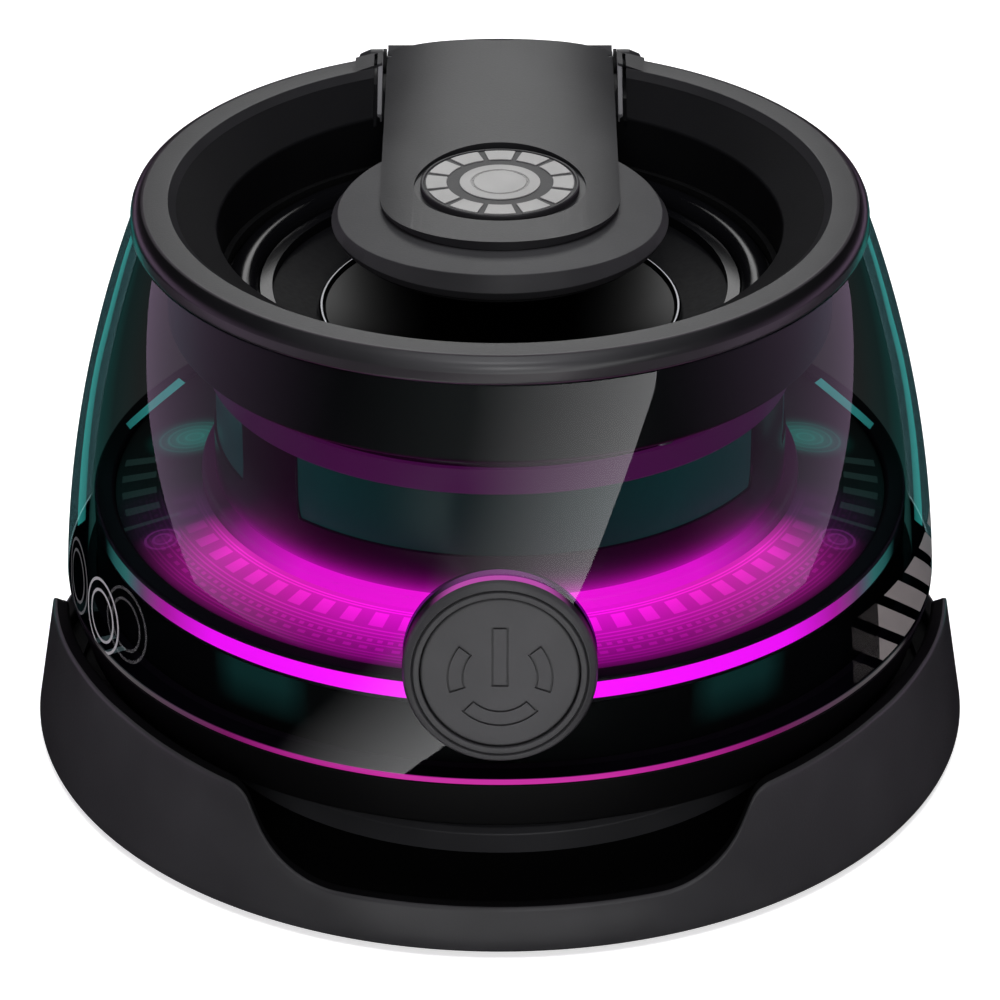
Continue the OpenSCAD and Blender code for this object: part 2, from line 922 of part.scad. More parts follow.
module cup_screws() {
    color("#9a9a9a")
        at_cup_screws() {
            translate([0, 0, cup_z - 0.8])
                cylinder(r = 1.25, h = 0.8);
            translate([0, 0, cup_z - 0.2])
                cylinder(r = 0.6, h = 6);
        }
}

// room for the turning barrel, open to the back
module hinge_room() {
    translate([-slot_half, hinge_y, hinge_z])
        rotate([0, 90, 0])
            cylinder(r = barrel_clear, h = 2 * slot_half);
    translate([-slot_half, hinge_y, hinge_z - barrel_clear])
        cube([2 * slot_half, 9, 2 * barrel_clear + 4]);
}

module clear_shell() {
    n = 22;
    color("#d8e4ea", 0.35)
        difference() {
            rotate_extrude()
                polygon(concat(
                    [for (i = [0:n]) let (z = shell_z + shell_h * i / n) [shell_r(z), z]],
                    [for (i = [0:n]) let (z = shell_top - shell_h * i / n) [shell_in(z), z]]));
            at_button()
                translate([0, 0, -12])
                    cylinder(r = button_r + run, h = 24);
            hinge_room();
        }
}

module ear_shape() {
    intersection() {
        union() {
            translate([hinge_y, hinge_z])
                circle(r = ear_r);
            polygon([
                [hinge_y - 4.4, shell_top],
                [hinge_y + 0.4, shell_top],
                [hinge_y + 1, hinge_z + ear_r - 0.35],
                [hinge_y, hinge_z + ear_r],
                [hinge_y - 4.4, rim_z - 0.1]]);
        }
        translate([hinge_y - 9, shell_top + seat])
            square([18, 9]);
    }
}

module rim() {
    h = rim_z - shell_top;
    color("#4a4a4d")
        difference() {
            union() {
                difference() {
                    union() {
                        rotate_extrude()
                            polygon([
                                [throat_r, throat_z],
                                [throat_r + throat_wall, throat_z],
                                [throat_r + throat_wall, mouth_z - 0.9],
                                [throat_r + 3, shell_top + seat],
                                [rim_out, shell_top + seat],
                                [rim_out - 0.12, shell_top + 0.42 * h],
                                [rim_out - 0.4, shell_top + 0.69 * h],
                                [rim_out - 0.85, shell_top + 0.9 * h],
                                [flat_out, rim_z],
                                [flat_in, rim_z],
                                [bevel_in, rim_z - rim_bevel],
                                [throat_r, mouth_z]]);
                        at_cup_screws()
                            translate([0, 0, cup_z + 1.2 + seat])
                                cylinder(r = boss_r, h = shell_top - cup_z - 0.9);
                    }
                    hinge_room();
                    translate([-slot_half, 12, arm_z - free])
                        cube([2 * slot_half, 30, 9]);
                }
                for (s = [-1, 1])
                    translate([s > 0 ? slot_half : -slot_half - ear_w, 0, 0])
                        rotate([90, 0, 90])
                            linear_extrude(height = ear_w)
                                ear_shape();
            }
            translate([-pin_end - seat, hinge_y, hinge_z])
                rotate([0, 90, 0])
                    cylinder(r = pin_r + 0.02, h = 2 * pin_end + 2 * seat);
            at_cup_screws()
                translate([0, 0, cup_z])
                    cylinder(r = 0.6 + run, h = 6.4);
        }
}

module hinge_pin() {
    color("#c4c6ca")
        translate([-pin_end, hinge_y, hinge_z])
            rotate([0, 90, 0])
                cylinder(r = pin_r, h = 2 * pin_end);
}

module hinge_washers() {
    t = arm_gap - 2 * seat;
    color("#d8cfae")
        for (x = [-slot_half + seat, slot_half - seat - t])
            translate([x, hinge_y, hinge_z])
                rotate([0, 90, 0])
                    difference() {
                        cylinder(r = 1.5, h = t);
                        translate([0, 0, -1])
                            cylinder(r = pin_r + run, h = t + 2);
                    }
}

module arm_plan() {
    translate([0, arm_end_y])
        circle(r = arm_half);
    translate([-arm_half, arm_end_y])
        square([arm_w, hinge_y - arm_end_y]);
}

module barrel() {
    n = 12;
    translate([0, hinge_y, hinge_z])
        rotate([0, 90, 0])
            rotate_extrude()
                polygon(concat(
                    [[0, -arm_half], [0, arm_half]],
                    [for (i = [0:n]) let (x = arm_half - arm_w * i / n)
                        [barrel_r - arm_crown + sqrt(arm_crown * arm_crown - x * x), x]]));
}

module arm() {
    front = arm_end_y - arm_half;
    color("#55555a")
        difference() {
            union() {
                intersection() {
                    translate([0, 0, arm_z])
                        linear_extrude(height = 9)
                            arm_plan();
                    translate([0, front, arm_z + arm_t])
                        rotate([arm_rise - 90, 0, 0])
                            translate([0, arm_crown, -20])
                                cylinder(r = arm_crown, h = 90, $fn = 180);
                }
                barrel();
                for (s = [-1, 1])
                    translate([s * arm_screw_x, arm_end_y, arm_z - 1.2])
                        cylinder(r = 1.9, h = 1.4);
            }
            translate([0, badge_y, badge_z])
                cylinder(d = badge_d + 1.3, h = 9);
            translate([-arm_w, hinge_y, hinge_z])
                rotate([0, 90, 0])
                    cylinder(r = pin_r + run, h = 2 * arm_w);
            for (s = [-1, 1])
                translate([s * arm_screw_x, arm_end_y, arm_z - 2])
                    cylinder(r = 0.6 + run, h = 2.5);
        }
}

module magnet_holder() {
    color("#4c4c50")
        difference() {
            translate([0, arm_end_y, 0])
                rotate_extrude()
                    polygon([
                        [0, holder_z],
                        [holder_r - 0.7, holder_z],
                        [holder_r - 0.1, holder_z + 0.7],
                        [holder_r, arm_z - 0.5],
                        [holder_r - 0.15, arm_z - 0.15],
                        [holder_r - 0.5, arm_z],
                        [0, arm_z]]);
            translate([0, arm_end_y, 0])
                ring(pocket_out, pocket_in, holder_z - 1, holder_z + pocket_h);
            for (s = [-1, 1])
                translate([s * arm_screw_x, arm_end_y, 0]) {
                    translate([0, 0, arm_z - 1.2])
                        cylinder(r = 1.9 + seat, h = 3);
                    translate([0, 0, holder_z - 1])
                        cylinder(r = 0.8, h = 4);
                    translate([0, 0, holder_z - 1])
                        cylinder(r = 1.7, h = 1.8);
                }
        }
}

module arm_magnets() {
    step = 360 / magnet_n;
    color("#b0b3b8")
        translate([0, arm_end_y, 0])
            for (i = [0:magnet_n - 1])
                sector(pocket_out - 0.15, pocket_in + 0.15, holder_z + seat,
                    holder_z + pocket_h - seat, (i + 0.03) * step, (i + 0.97) * step);
}

module face_pad() {
    color("#232326")
        translate([0, arm_end_y, holder_z - pad_t])
            cylinder(r = holder_r - 1, h = pad_t);
}

module badge() {
    color("#9a9da2")
        translate([0, badge_y, badge_z])
            cylinder(d = badge_d, h = 0.4);
}

module arm_screws() {
    color("#9a9a9a")
        for (s = [-1, 1])
            translate([s * arm_screw_x, arm_end_y, 0]) {
                translate([0, 0, holder_z + seat])
                    cylinder(r = 1.5, h = 0.75);
                translate([0, 0, holder_z + 0.7])
                    cylinder(r = 0.6, h = holder_t - 0.5);
            }
}

module button_ring() {
    color("#4b4b4f")
        at_button() {
            rotate_extrude()
                polygon([
                    [bore_r, stop_z],
                    [button_r, stop_z],
                    [button_r, -0.75],
                    [button_r - 0.25, -0.25],
                    [button_r - 0.85, 0],
                    [bore_r, 0]]);
            difference() {
                translate([0, 0, stop_z])
                    cylinder(r = bore_r + 0.5, h = stop_t);
                translate([0, 0, stop_z - 1])
                    cylinder(r = 2.2 + run, h = 4);
            }
            for (s = [-1, 1])
                translate([s * 6, 0, switch_low])
                    cylinder(r = 1.1, h = stop_z - switch_low + 0.2);
        }
}

// pie slice from one angle to another, for cutting arcs out of a ring
module slice(a0, a1) {
    polygon([[0, 0], for (a = [a0, (a0 + a1) / 2, a1]) 2 * sign_r * [cos(a), sin(a)]]);
}

module power_sign() {
    translate([0, -sign_drop]) {
        translate([-sign_w / 2, -0.9])
            square([sign_w, sign_bar]);
        for (a = [[-18, 39], [141, 198], [225, 315]])
            intersection() {
                difference() {
                    circle(r = sign_r + sign_w / 2);
                    circle(r = sign_r - sign_w / 2);
                }
                slice(a[0], a[1]);
            }
    }
}

module button_cap() {
    top = -0.25;
    color("#525256")
        at_button()
            difference() {
                union() {
                    rotate_extrude()
                        polygon([
                            [0, -1.6],
                            [cap_d / 2, -1.6],
                            [cap_d / 2, top - 0.25],
                            [cap_d / 2 - 0.25, top],
                            [0, top]]);
                    translate([0, 0, stop_z - seat - barb_t])
                        cylinder(r = 2.2 - run, h = 2.6);
                    translate([0, 0, stop_z - seat - barb_t])
                        cylinder(r = 2.6, h = barb_t);
                }
                translate([0, 0, top - sign_depth])
                    linear_extrude(height = 2)
                        power_sign();
            }
}

// inside of the shell, kept a seat away from it
module shell_inside() {
    n = 10;
    z0 = button_z - 14;
    z1 = button_z + 14;
    rotate_extrude()
        polygon(concat(
            [[0, z1], [0, z0]],
            [for (i = [0:n]) let (z = z0 + (z1 - z0) * i / n) [shell_in(z) - seat, z]]));
}

module button_gasket() {
    color("#e9b8e4")
        intersection() {
            at_button()
                ring(button_r + 1.2, button_r + seat, -6, -1);
            shell_inside();
        }
}

module button_board() {
    color("#1f4a2c")
        at_button()
            translate([-8, -5, switch_low - button_board_t])
                cube([16, 10, button_board_t]);
}

module tact_switch() {
    color("#1c1c1e")
        at_button()
            difference() {
                translate([-3, -3, switch_low])
                    cube([6, 6, switch_h]);
                translate([0, 0, switch_top - 1.05 - press_travel])
                    cylinder(r = 1.6 + run, h = 3);
            }
}

module switch_plunger() {
    color("#cfcfcf")
        at_button()
            translate([0, 0, switch_top - 0.9])
                cylinder(r = 1.6, h = plunger_top - switch_top + 0.9);
}

base_ring();
base_plate();
foot_ring();
reflector();
base_screws();
lower_tub();
radiator_surround();
radiator_plate();
edge_light();
charge_board();
usb_socket();
lamp_board();
lamps();
light_ring();
deck();
core_light();
core();
core_windows();
core_band();
cell_tray();
battery_cell();
main_board();
radio_module();
board_parts();
board_screws();
driver_yoke();
driver_magnet();
driver_top_plate();
driver_frame();
spider();
voice_coil();
cone();
surround();
dust_cap();
trim_ring();
frame_gasket();
driver_cup();
cup_screws();
clear_shell();
rim();
hinge_pin();
hinge_washers();
arm();
magnet_holder();
arm_magnets();
face_pad();
badge();
arm_screws();
button_ring();
button_cap();
button_gasket();
button_board();
tact_switch();
switch_plunger();
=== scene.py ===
import math
from functools import partial

import bpy
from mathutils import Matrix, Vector


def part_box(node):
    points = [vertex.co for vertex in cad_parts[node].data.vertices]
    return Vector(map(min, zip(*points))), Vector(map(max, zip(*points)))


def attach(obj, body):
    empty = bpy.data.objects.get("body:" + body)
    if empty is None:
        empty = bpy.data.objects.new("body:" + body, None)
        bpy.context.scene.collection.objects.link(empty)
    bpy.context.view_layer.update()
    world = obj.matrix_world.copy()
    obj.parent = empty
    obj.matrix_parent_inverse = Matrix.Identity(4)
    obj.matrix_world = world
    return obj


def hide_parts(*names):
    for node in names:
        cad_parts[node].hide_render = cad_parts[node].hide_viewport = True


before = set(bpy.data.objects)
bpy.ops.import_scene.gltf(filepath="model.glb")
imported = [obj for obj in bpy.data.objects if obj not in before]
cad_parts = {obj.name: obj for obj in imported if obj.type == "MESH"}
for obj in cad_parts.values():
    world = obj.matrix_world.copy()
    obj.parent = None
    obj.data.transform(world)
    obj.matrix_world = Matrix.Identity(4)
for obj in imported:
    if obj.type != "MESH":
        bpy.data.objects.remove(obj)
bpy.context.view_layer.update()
mm = 0.001
print("frame loaded with", len(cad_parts), "nodes")


# small tools for modelling

def setMode(mode):
    bpy.ops.object.mode_set(mode=mode)


def clearSelection():
    if bpy.context.mode != "OBJECT":
        setMode("OBJECT")
    bpy.ops.object.select_all(action="DESELECT")


def pick(piece):
    clearSelection()
    piece.select_set(True)
    bpy.context.view_layer.objects.active = piece


def settle():
    bpy.ops.object.transform_apply(location=True, rotation=True, scale=True)


def nameNew(name):
    piece = bpy.context.object
    piece.name = name
    piece.data.name = name
    settle()
    return piece


def startEdit():
    setMode("EDIT")
    bpy.ops.mesh.select_all(action="SELECT")


def endEdit():
    # all faces point outwards
    bpy.ops.mesh.select_all(action="SELECT")
    bpy.ops.mesh.normals_make_consistent(inside=False)
    setMode("OBJECT")


def raised(step):
    # extrudes what is selected by a step in mm, and ends the edit
    bpy.ops.mesh.extrude_region_move(TRANSFORM_OT_translate={"value": tuple(v * mm for v in step)})
    endEdit()


def nothingPicked(piece, mode):
    # leaves object mode with nothing of the piece selected, so that code can select
    pick(piece)
    startEdit()
    bpy.ops.mesh.select_mode(type=mode)
    bpy.ops.mesh.select_all(action="DESELECT")
    setMode("OBJECT")


def boxOutline(r0, r1, low, high):
    return [(r0, low), (r1, low), (r1, high), (r0, high)]


def halfRound(middle, height, radius, side, steps=16):
    # half a circle of points from its inner to its outer end, over the height for side 1 and under it for -1
    turns = [math.radians(180 - side * 180 * i / steps) for i in range(steps + 1)]
    return [(middle + radius * math.cos(a), height + radius * math.sin(a)) for a in turns]


def softOutline(points, steps):
    # a corner with a third number becomes an arc of that radius
    outline = []
    for i, corner in enumerate(points):
        if len(corner) < 3:
            outline.append(tuple(corner))
            continue
        at = Vector(corner[:2])
        back = (Vector(points[i - 1][:2]) - at).normalized()
        ahead = (Vector(points[(i + 1) % len(points)][:2]) - at).normalized()
        half = back.angle(ahead) / 2
        middle = at + (back + ahead).normalized() * (corner[2] / math.sin(half))
        first = at + back * (corner[2] / math.tan(half)) - middle
        last = at + ahead * (corner[2] / math.tan(half)) - middle
        a0 = math.atan2(first.y, first.x)
        turn = math.atan2(last.y, last.x) - a0
        turn = (turn + math.pi) % (2 * math.pi) - math.pi
        for k in range(steps + 1):
            a = a0 + turn * k / steps
            outline.append((middle.x + corner[2] * math.cos(a), middle.y + corner[2] * math.sin(a)))
    return outline


def mergeDoubles():
    bpy.ops.mesh.select_all(action="SELECT")
    bpy.ops.mesh.remove_doubles(threshold=0.002 * mm)
    bpy.ops.mesh.select_all(action="SELECT")


def drawn(name, points):
    # a closed chain of edges through points in mm, left selected in edit mode
    clearSelection()
    bpy.ops.mesh.primitive_plane_add(size=mm, location=Vector(points[0]) * mm)
    piece = nameNew(name)
    startEdit()
    bpy.ops.mesh.merge(type="CENTER")
    for here, there in zip(points, points[1:] + points[:1]):
        step = (Vector(there) - Vector(here)) * mm
        bpy.ops.mesh.extrude_vertices_move(TRANSFORM_OT_translate={"value": tuple(step)})
    mergeDoubles()
    return piece


def turned(name, outline, sides=240, sweep=360, towards=0, steps=5):
    # an outline of (radius, height) in mm, some with a rounding, spun round Z
    # towards is the turn of a sector's middle from the front
    piece = drawn(name, [(r, 0, z) for r, z in softOutline(outline, steps)])
    bpy.ops.mesh.spin(steps=sides, angle=math.radians(sweep), center=(0, 0, 0), axis=(0, 0, 1))
    mergeDoubles()
    if sweep < 360:
        bpy.ops.mesh.fill_holes(sides=0)
    endEdit()
    if sweep < 360:
        middle = sum((v.co for v in piece.data.vertices), Vector())
        piece.rotation_euler.z = math.radians(towards - 90) - math.atan2(middle.y, middle.x)
        settle()
    return piece


def slab(name, outline, x0, x1):
    # an outline of (y, z) in mm, extruded from x0 to x1
    piece = drawn(name, [(x0, y, z) for y, z in outline])
    bpy.ops.mesh.edge_face_add()
    bpy.ops.mesh.select_all(action="SELECT")
    raised((x1 - x0, 0, 0))
    return piece


def placed(piece, where=(0, 0, 0), turn=(0, 0, 0)):
    pick(piece)
    piece.location = [v * mm for v in where]
    piece.rotation_euler = [math.radians(a) for a in turn]
    settle()
    return piece


def block(name, low, high):
    clearSelection()
    middle = [(a + b) / 2 * mm for a, b in zip(low, high)]
    bpy.ops.mesh.primitive_cube_add(size=1, location=middle)
    bpy.context.object.scale = [(b - a) * mm for a, b in zip(low, high)]
    return nameNew(name)


def rod(name, radius, start, end, sides=96):
    # a cylinder between two points, in mm
    clearSelection()
    a, b = Vector(start), Vector(end)
    bpy.ops.mesh.primitive_cylinder_add(vertices=sides, radius=radius * mm, depth=(b - a).length * mm,
                                        location=(a + b) / 2 * mm,
                                        rotation=(b - a).to_track_quat("Z", "Y").to_euler())
    return nameNew(name)


def shaped(piece, tool, operation="DIFFERENCE"):
    pick(piece)
    boolean = piece.modifiers.new("shape", "BOOLEAN")
    boolean.operation = operation
    boolean.solver = "EXACT"
    boolean.object = tool
    bpy.ops.object.modifier_apply(modifier=boolean.name)
    bpy.data.objects.remove(tool)
    return piece


def softEdges(piece, width, angle=40, segments=3):
    pick(piece)
    bevel = piece.modifiers.new("soft", "BEVEL")
    bevel.width = width * mm
    bevel.segments = segments
    bevel.limit_method = "ANGLE"
    bevel.angle_limit = math.radians(angle)
    bpy.ops.object.modifier_apply(modifier=bevel.name)
    return piece


def fitted(piece, body, material, nodes=(), smooth=32):
    pick(piece)
    bpy.ops.object.shade_smooth_by_angle(angle=math.radians(smooth))
    even = piece.modifiers.new("even", "WEIGHTED_NORMAL")  # large faces stay flat beside small roundings
    even.keep_sharp = True
    bpy.ops.object.modifier_apply(modifier=even.name)
    piece.data.materials.clear()
    piece.data.materials.append(material)
    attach(piece, body)
    if nodes:
        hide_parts(*nodes)
    return piece


def painted(piece, material, where):
    # a second finish on the faces that where picks
    piece.data.materials.append(material)
    for face in piece.data.polygons:
        if where(face):
            face.material_index = len(piece.data.materials) - 1


def copied(piece, name, turn):
    pick(piece)
    bpy.ops.object.duplicate()
    twin = nameNew(name)
    twin.rotation_euler.z = math.radians(turn)
    settle()
    return twin


def joined(first, others):
    pick(first)
    for piece in others:
        piece.select_set(True)
    bpy.ops.object.join()
    return first


# small tools for materials

def linearColour(code):
    channels = [int(code[i:i + 2], 16) / 255 for i in (1, 3, 5)]
    return [c / 12.92 if c <= 0.04045 else ((c + 0.055) / 1.055) ** 2.4 for c in channels] + [1]


def dimmed(code, level):
    return [c * level for c in linearColour(code)[:3]] + [1]


def feed(node, sockets):
    # a socket given as a value is linked, a colour code is set as a colour, and anything else as it is
    for key, value in sockets.items():
        if isinstance(value, bpy.types.NodeSocket):
            node.id_data.links.new(value, node.inputs[key])
        else:
            node.inputs[key].default_value = linearColour(value) if isinstance(value, str) else value


def addNode(tree, kind, *values, out=0, sockets=(), stops=(), **settings):
    # kind may name an operation after a blank, the values go to the node's sockets in their order
    # gives its first output, or the one that out names
    kind, *operation = kind.split()
    node = tree.nodes.new("ShaderNode" + kind)
    if operation:
        node.operation = operation[0]
    for key, value in settings.items():
        if key in node.inputs:
            feed(node, {key: value})
        else:
            setattr(node, key, value)
    feed(node, {**dict(enumerate(values)), **dict(sockets)})
    for i, (position, colour) in enumerate(stops):
        ramp = node.color_ramp.elements
        stop = ramp[i] if i < len(ramp) else ramp.new(1)
        stop.position = position
        stop.color = linearColour(colour) if isinstance(colour, str) else colour
    return node.outputs[out]


def newMaterial(name, **sockets):
    # gives the material, what adds a node to it, and its shader
    material = bpy.data.materials.new(name)
    material.use_nodes = True
    shader = material.node_tree.nodes["Principled BSDF"]
    feed(shader, {key.replace("_", " "): value for key, value in sockets.items()})
    return material, partial(addNode, material.node_tree), shader


def showThrough(shader, share, through):
    # the shader covers a share of the surface, and the rest lets light through
    both = addNode(shader.id_data, "MixShader", share, through, shader.outputs[0])
    feed(shader.id_data.nodes["Material Output"], {"Surface": both})


def millimetres(add):
    return add("VectorMath SCALE", add("TexCoord", out="Object"), Scale=1000)


def roundTheAxis(add):
    # distance from the axis in mm, turn from the front in degrees, turn without its sign, and height in mm
    x, y, z = add("SeparateXYZ", millimetres(add)).node.outputs
    radius = add("VectorMath LENGTH", add("CombineXYZ", x, y), out=1)
    turn = add("Math DEGREES", add("Math ARCTAN2", x, add("Math MULTIPLY", y, -1)))
    return radius, turn, add("Math ABSOLUTE", turn), z


mouldedLook = {"mottle": 0.12, "glossSwing": 0.3, "bumpMm": 0.05}


def moulded(name, colour, rough, grainMm, relief, specular=0.5, metal=0.0):
    # grain gives the bump and a fine unevenness of gloss, a broader noise the slight unevenness of colour
    material, add, shader = newMaterial(name, Metallic=metal, Specular_IOR_Level=specular)
    place = millimetres(add)
    p = mouldedLook
    grain = add("TexNoise", place, Scale=1 / grainMm, Detail=3, out="Fac")
    broad = add("TexNoise", place, Scale=0.12, Detail=2, out="Fac")  # patches of about 8 mm
    tone = add("ValToRGB", broad, stops=[(0.3, dimmed(colour, 1 - p["mottle"])),
                                         (0.7, dimmed(colour, 1 + p["mottle"]))])
    swing = p["glossSwing"] * relief
    gloss = add("MapRange", grain, 0, 1, rough - swing, rough + swing)
    bump = add("Bump", Height=grain, Strength=relief, Distance=p["bumpMm"] * mm)
    feed(shader, {"Base Color": tone, "Roughness": gloss, "Normal": bump})
    return material


# materials of solid colour, each with its own grain

graphiteAbs = moulded("graphite_abs_spark_finish", "#333335", 0.37, 0.22, 0.22)  # matte, with a soft broad shine
softTouchAbs = moulded("graphite_abs_soft_touch", "#252527", 0.35, 0.22, 0.18)  # darker, takes a soft streak
holderAbs = moulded("graphite_abs_dull", "#343436", 0.42, 0.22, 0.18, specular=0.35)  # duller than the arm above it
paleRibPaintedHighlight = moulded("grey_abs_painted_edge_highlight", "#636366", 0.4, 0.3, 0.1)  # pale line beside the slot, a painted highlight of its edge
satinAbs = moulded("graphite_abs_satin", "#322f33", 0.28, 0.3, 0.015)  # smoother sides that mirror the studio softly
buttonAbs = moulded("grey_abs_satin", "#464648", 0.5, 0.25, 0.2)  # even satin grey
bezelAbs = moulded("dark_grey_abs_satin", "#3d3d3f", 0.42, 0.25, 0.15)  # darker than the cap it holds
pitchAbsAndPaintedShade = moulded("black_abs_unpolished_and_painted_shade", "#060607", 0.7, 0.3, 0.2, specular=0.15)  # swallows the light; inside the base wall it stands in as painted shade
shadeAbs = moulded("grey_abs_moulded", "#3a3a3d", 0.45, 0.3, 0.15)  # mid grey that still shows in the shade
cupAbs = moulded("black_abs_fine_matte", "#0b0b0c", 0.5, 0.3, 0.1, specular=0.3)  # black with hardly any reflection
darkAbs = moulded("dark_abs_moulded", "#26262a", 0.42, 0.3, 0.2)  # dark grey, soft shine
funnelAbsAndPaintedShade = moulded("black_abs_satin_funnel_and_painted_shade", "#0f0f11", 0.5, 0.25, 0.2, specular=0.3)  # darker than the rim: partly its own black, partly shade painted into the recess
matteBlackAbs = moulded("black_abs_matte", "#101011", 0.55, 0.3, 0.25)  # black, dull
blackRubber = moulded("black_silicone_rubber", "#111112", 0.6, 0.35, 0.35, specular=0.35)  # dull, slightly dusty
coneFibre = moulded("coated_paper_cone", "#0b0b0d", 0.5, 0.6, 0.3, specular=0.35)  # fibrous and dark
capGloss = moulded("black_dust_cap_film", "#050506", 0.34, 0.6, 0.03, specular=0.35)  # deep black, soft mirror
rollRubber = moulded("glossy_butyl_rubber", "#08080a", 0.2, 0.5, 0.02)  # a thin line of light along its crest
washerNylon = moulded("natural_nylon", "#cbc3a6", 0.45, 0.4, 0.15)  # creamy and waxy
foamBlack = moulded("black_foam", "#0f0f10", 0.9, 0.5, 0.8, specular=0.2)  # open pores, no shine
solderMask = moulded("green_solder_mask", "#1f4a2c", 0.3, 0.8, 0.1)  # glossy lacquer on fibreglass
lampPackage = moulded("lamp_package_resin", "#e8e2d2", 0.4, 0.5, 0.1)  # milky resin
chipEpoxy = moulded("black_moulding_epoxy", "#17171a", 0.6, 0.2, 0.3)  # fine matte black
ferrite = moulded("sintered_ferrite", "#2c2c2f", 0.7, 0.4, 0.5)  # dark grey ceramic
framePaint = moulded("black_painted_steel", "#1c1c1f", 0.4, 0.4, 0.2)  # smooth paint
spiderCloth = moulded("resin_treated_cloth", "#c29a45", 0.8, 0.7, 0.8, specular=0.25)  # ochre weave
screwSteel = moulded("zinc_plated_steel", "#a8a9ac", 0.35, 0.3, 0.1, metal=1.0)  # grey metal
nickelSteel = moulded("nickel_plated_steel", "#b9babd", 0.24, 0.3, 0.05, metal=1.0)  # bright metal
coilCopper = moulded("enamelled_copper", "#b5703a", 0.3, 0.12, 0.5, metal=1.0)  # fine turns of wire
cellFoil = moulded("aluminium_pouch_foil", "#8d949c", 0.38, 1.2, 0.3, metal=1.0)  # slightly crumpled foil
brightChrome = moulded("chrome_plated_ring", "#77787c", 0.14, 0.6, 0.02, metal=1.0)  # dark mirror
badgeSilver = moulded("satin_silver_paint", "#a3a3a2", 0.5, 0.15, 0.3)  # pale and slightly sparkling
badgeGround = moulded("graphite_badge_ground", "#29292b", 0.4, 0.2, 0.15)  # satin ground of the badge
print("plain materials ready")


# lit plastics: the light changes from magenta in front to teal at the sides

lightTones = {"front": "#ff0eff", "side": "#3aa8a2", "edge": "#e62cb8", "deck": "#ff14e4"}


def litPlastic(name, stops, strength, band=None, face=0):
    # diffusing acrylic: its own light hides its surface; stops are (turn from the front, tone, level)
    material, add, shader = newMaterial(name, Roughness=0.35, Specular_IOR_Level=0.25, Emission_Strength=strength,
                                        Base_Color="#1c121c")
    radius, _, away, height = roundTheAxis(add)
    share = add("Math DIVIDE", away, 180)
    glow = add("ValToRGB", share, stops=[(turn / 180, dimmed(tone, level)) for turn, tone, level in stops])
    feed(shader, {"Emission Color": glow})
    if band:  # only a band of heights on the outer face is left unmasked
        lit = add("Math COMPARE", height, sum(band) / 2, (band[1] - band[0]) / 2)
        outer = add("Math GREATER_THAN", radius, face)
        level = add("Math MULTIPLY", lit, strength)
        feed(shader, {"Emission Strength": add("Math MULTIPLY", level, outer)})
    return material


ringAcrylic = litPlastic("lit_acrylic_ring", [
    (0, lightTones["front"], 1), (42, lightTones["front"], 0.95), (52, "#c01cac", 0.85), (58, "#724a72", 0.8),
    (63, "#3c7c7a", 0.8), (68, "#347472", 0.75), (72, lightTones["side"], 0)], 1.35, (24.27, 26.05), 41.0)
edgeAcrylic = litPlastic("lit_acrylic_edge", [
    (0, lightTones["edge"], 1), (14, lightTones["edge"], 0.95), (27, lightTones["edge"], 0.66),
    (36, lightTones["edge"], 0.3), (43, "#653a5c", 1), (52, "#565254", 1), (61, "#6c696a", 1),
    (66, "#6c696a", 0)], 0.7, (17, 17.66), 44.3)
footLevels = ((0, 1), (40, 0.85), (52, 0.45), (62, 0.1), (68, 0.015))
coreAcrylic = litPlastic("lit_acrylic_foot", [(turn, lightTones["deck"], level) for turn, level in footLevels], 1.15)
# the violet band's glow is painted light, strongest in front and dimmer towards the back
violetBandPaintedGlow = litPlastic("violet_acrylic_painted_glow", [(0, "#400b3e", 1), (30, "#430c40", 1), (75, "#3a0f3a", 0.6),
                                                  (180, "#3a0f3a", 0.3)], 1.0)
print("lit materials ready")

# clear shell: outline and cut-outs

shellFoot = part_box("clear_shell")[0].z / mm
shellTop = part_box("clear_shell")[1].z / mm
shellForm = {"widest": 44.7, "curve": 127, "widestHeight": 10.6, "wall": 2, "stations": 26}
buttonPlace = {"face": (0, -44.7, 29.55), "tilt": 81.5, "hole": 9.2, "room": 9.35, "switchRoom": 5.1}
hingePlace = {"y": 33.998, "z": 57.0, "slot": 12.35, "clear": 2.6}


def shellRadius(z):
    rise = z - shellForm["widestHeight"]
    return shellForm["widest"] - shellForm["curve"] + math.sqrt(shellForm["curve"] ** 2 - rise ** 2)


def alongButton(depth):
    # a point on the button's axis, so many mm out of its face
    tilt = math.radians(buttonPlace["tilt"])
    face = buttonPlace["face"]
    return (0, face[1] - depth * math.sin(tilt), face[2] + depth * math.cos(tilt))


def hingeTools():
    slot, clear = hingePlace["slot"], hingePlace["clear"]
    y, z = hingePlace["y"], hingePlace["z"]
    return [rod("tool", clear, (-slot, y, z), (slot, y, z), 64),
            block("tool", (-slot, y, z - clear), (slot, y + 9, z + clear + 4))]


def buttonRoom(piece, radius):
    return shaped(piece, rod("tool", radius, alongButton(-17), alongButton(-1)))


shellLook = {"headOn": "#f6f9f9", "slant": "#d3dddd", "edge": "#637b7d", "mirror": "#f2f2f4", "gloss": (0.07, 0.3),
             "growth": 3.5, "rough": (0.02, 0.5)}
shellMarks = {"pale": "#b4b4b6", "mmPerDegree": 0.76, "ringLine": 0.3, "ringSizes": (3.75, 2.65),
              "rings": ((-63, 21.2, 1), (-56.3, 22.8, 0.15), (-73.5, 21.4, 0.3)),
              "blockTone": "#87827f", "band": (18.1, 25.0), "lean": 1.807, "step": 6.7, "blockWidth": 4.4,
              "phase": 106.48, "from": (51, 57.4, 88), "faint": 0.07}


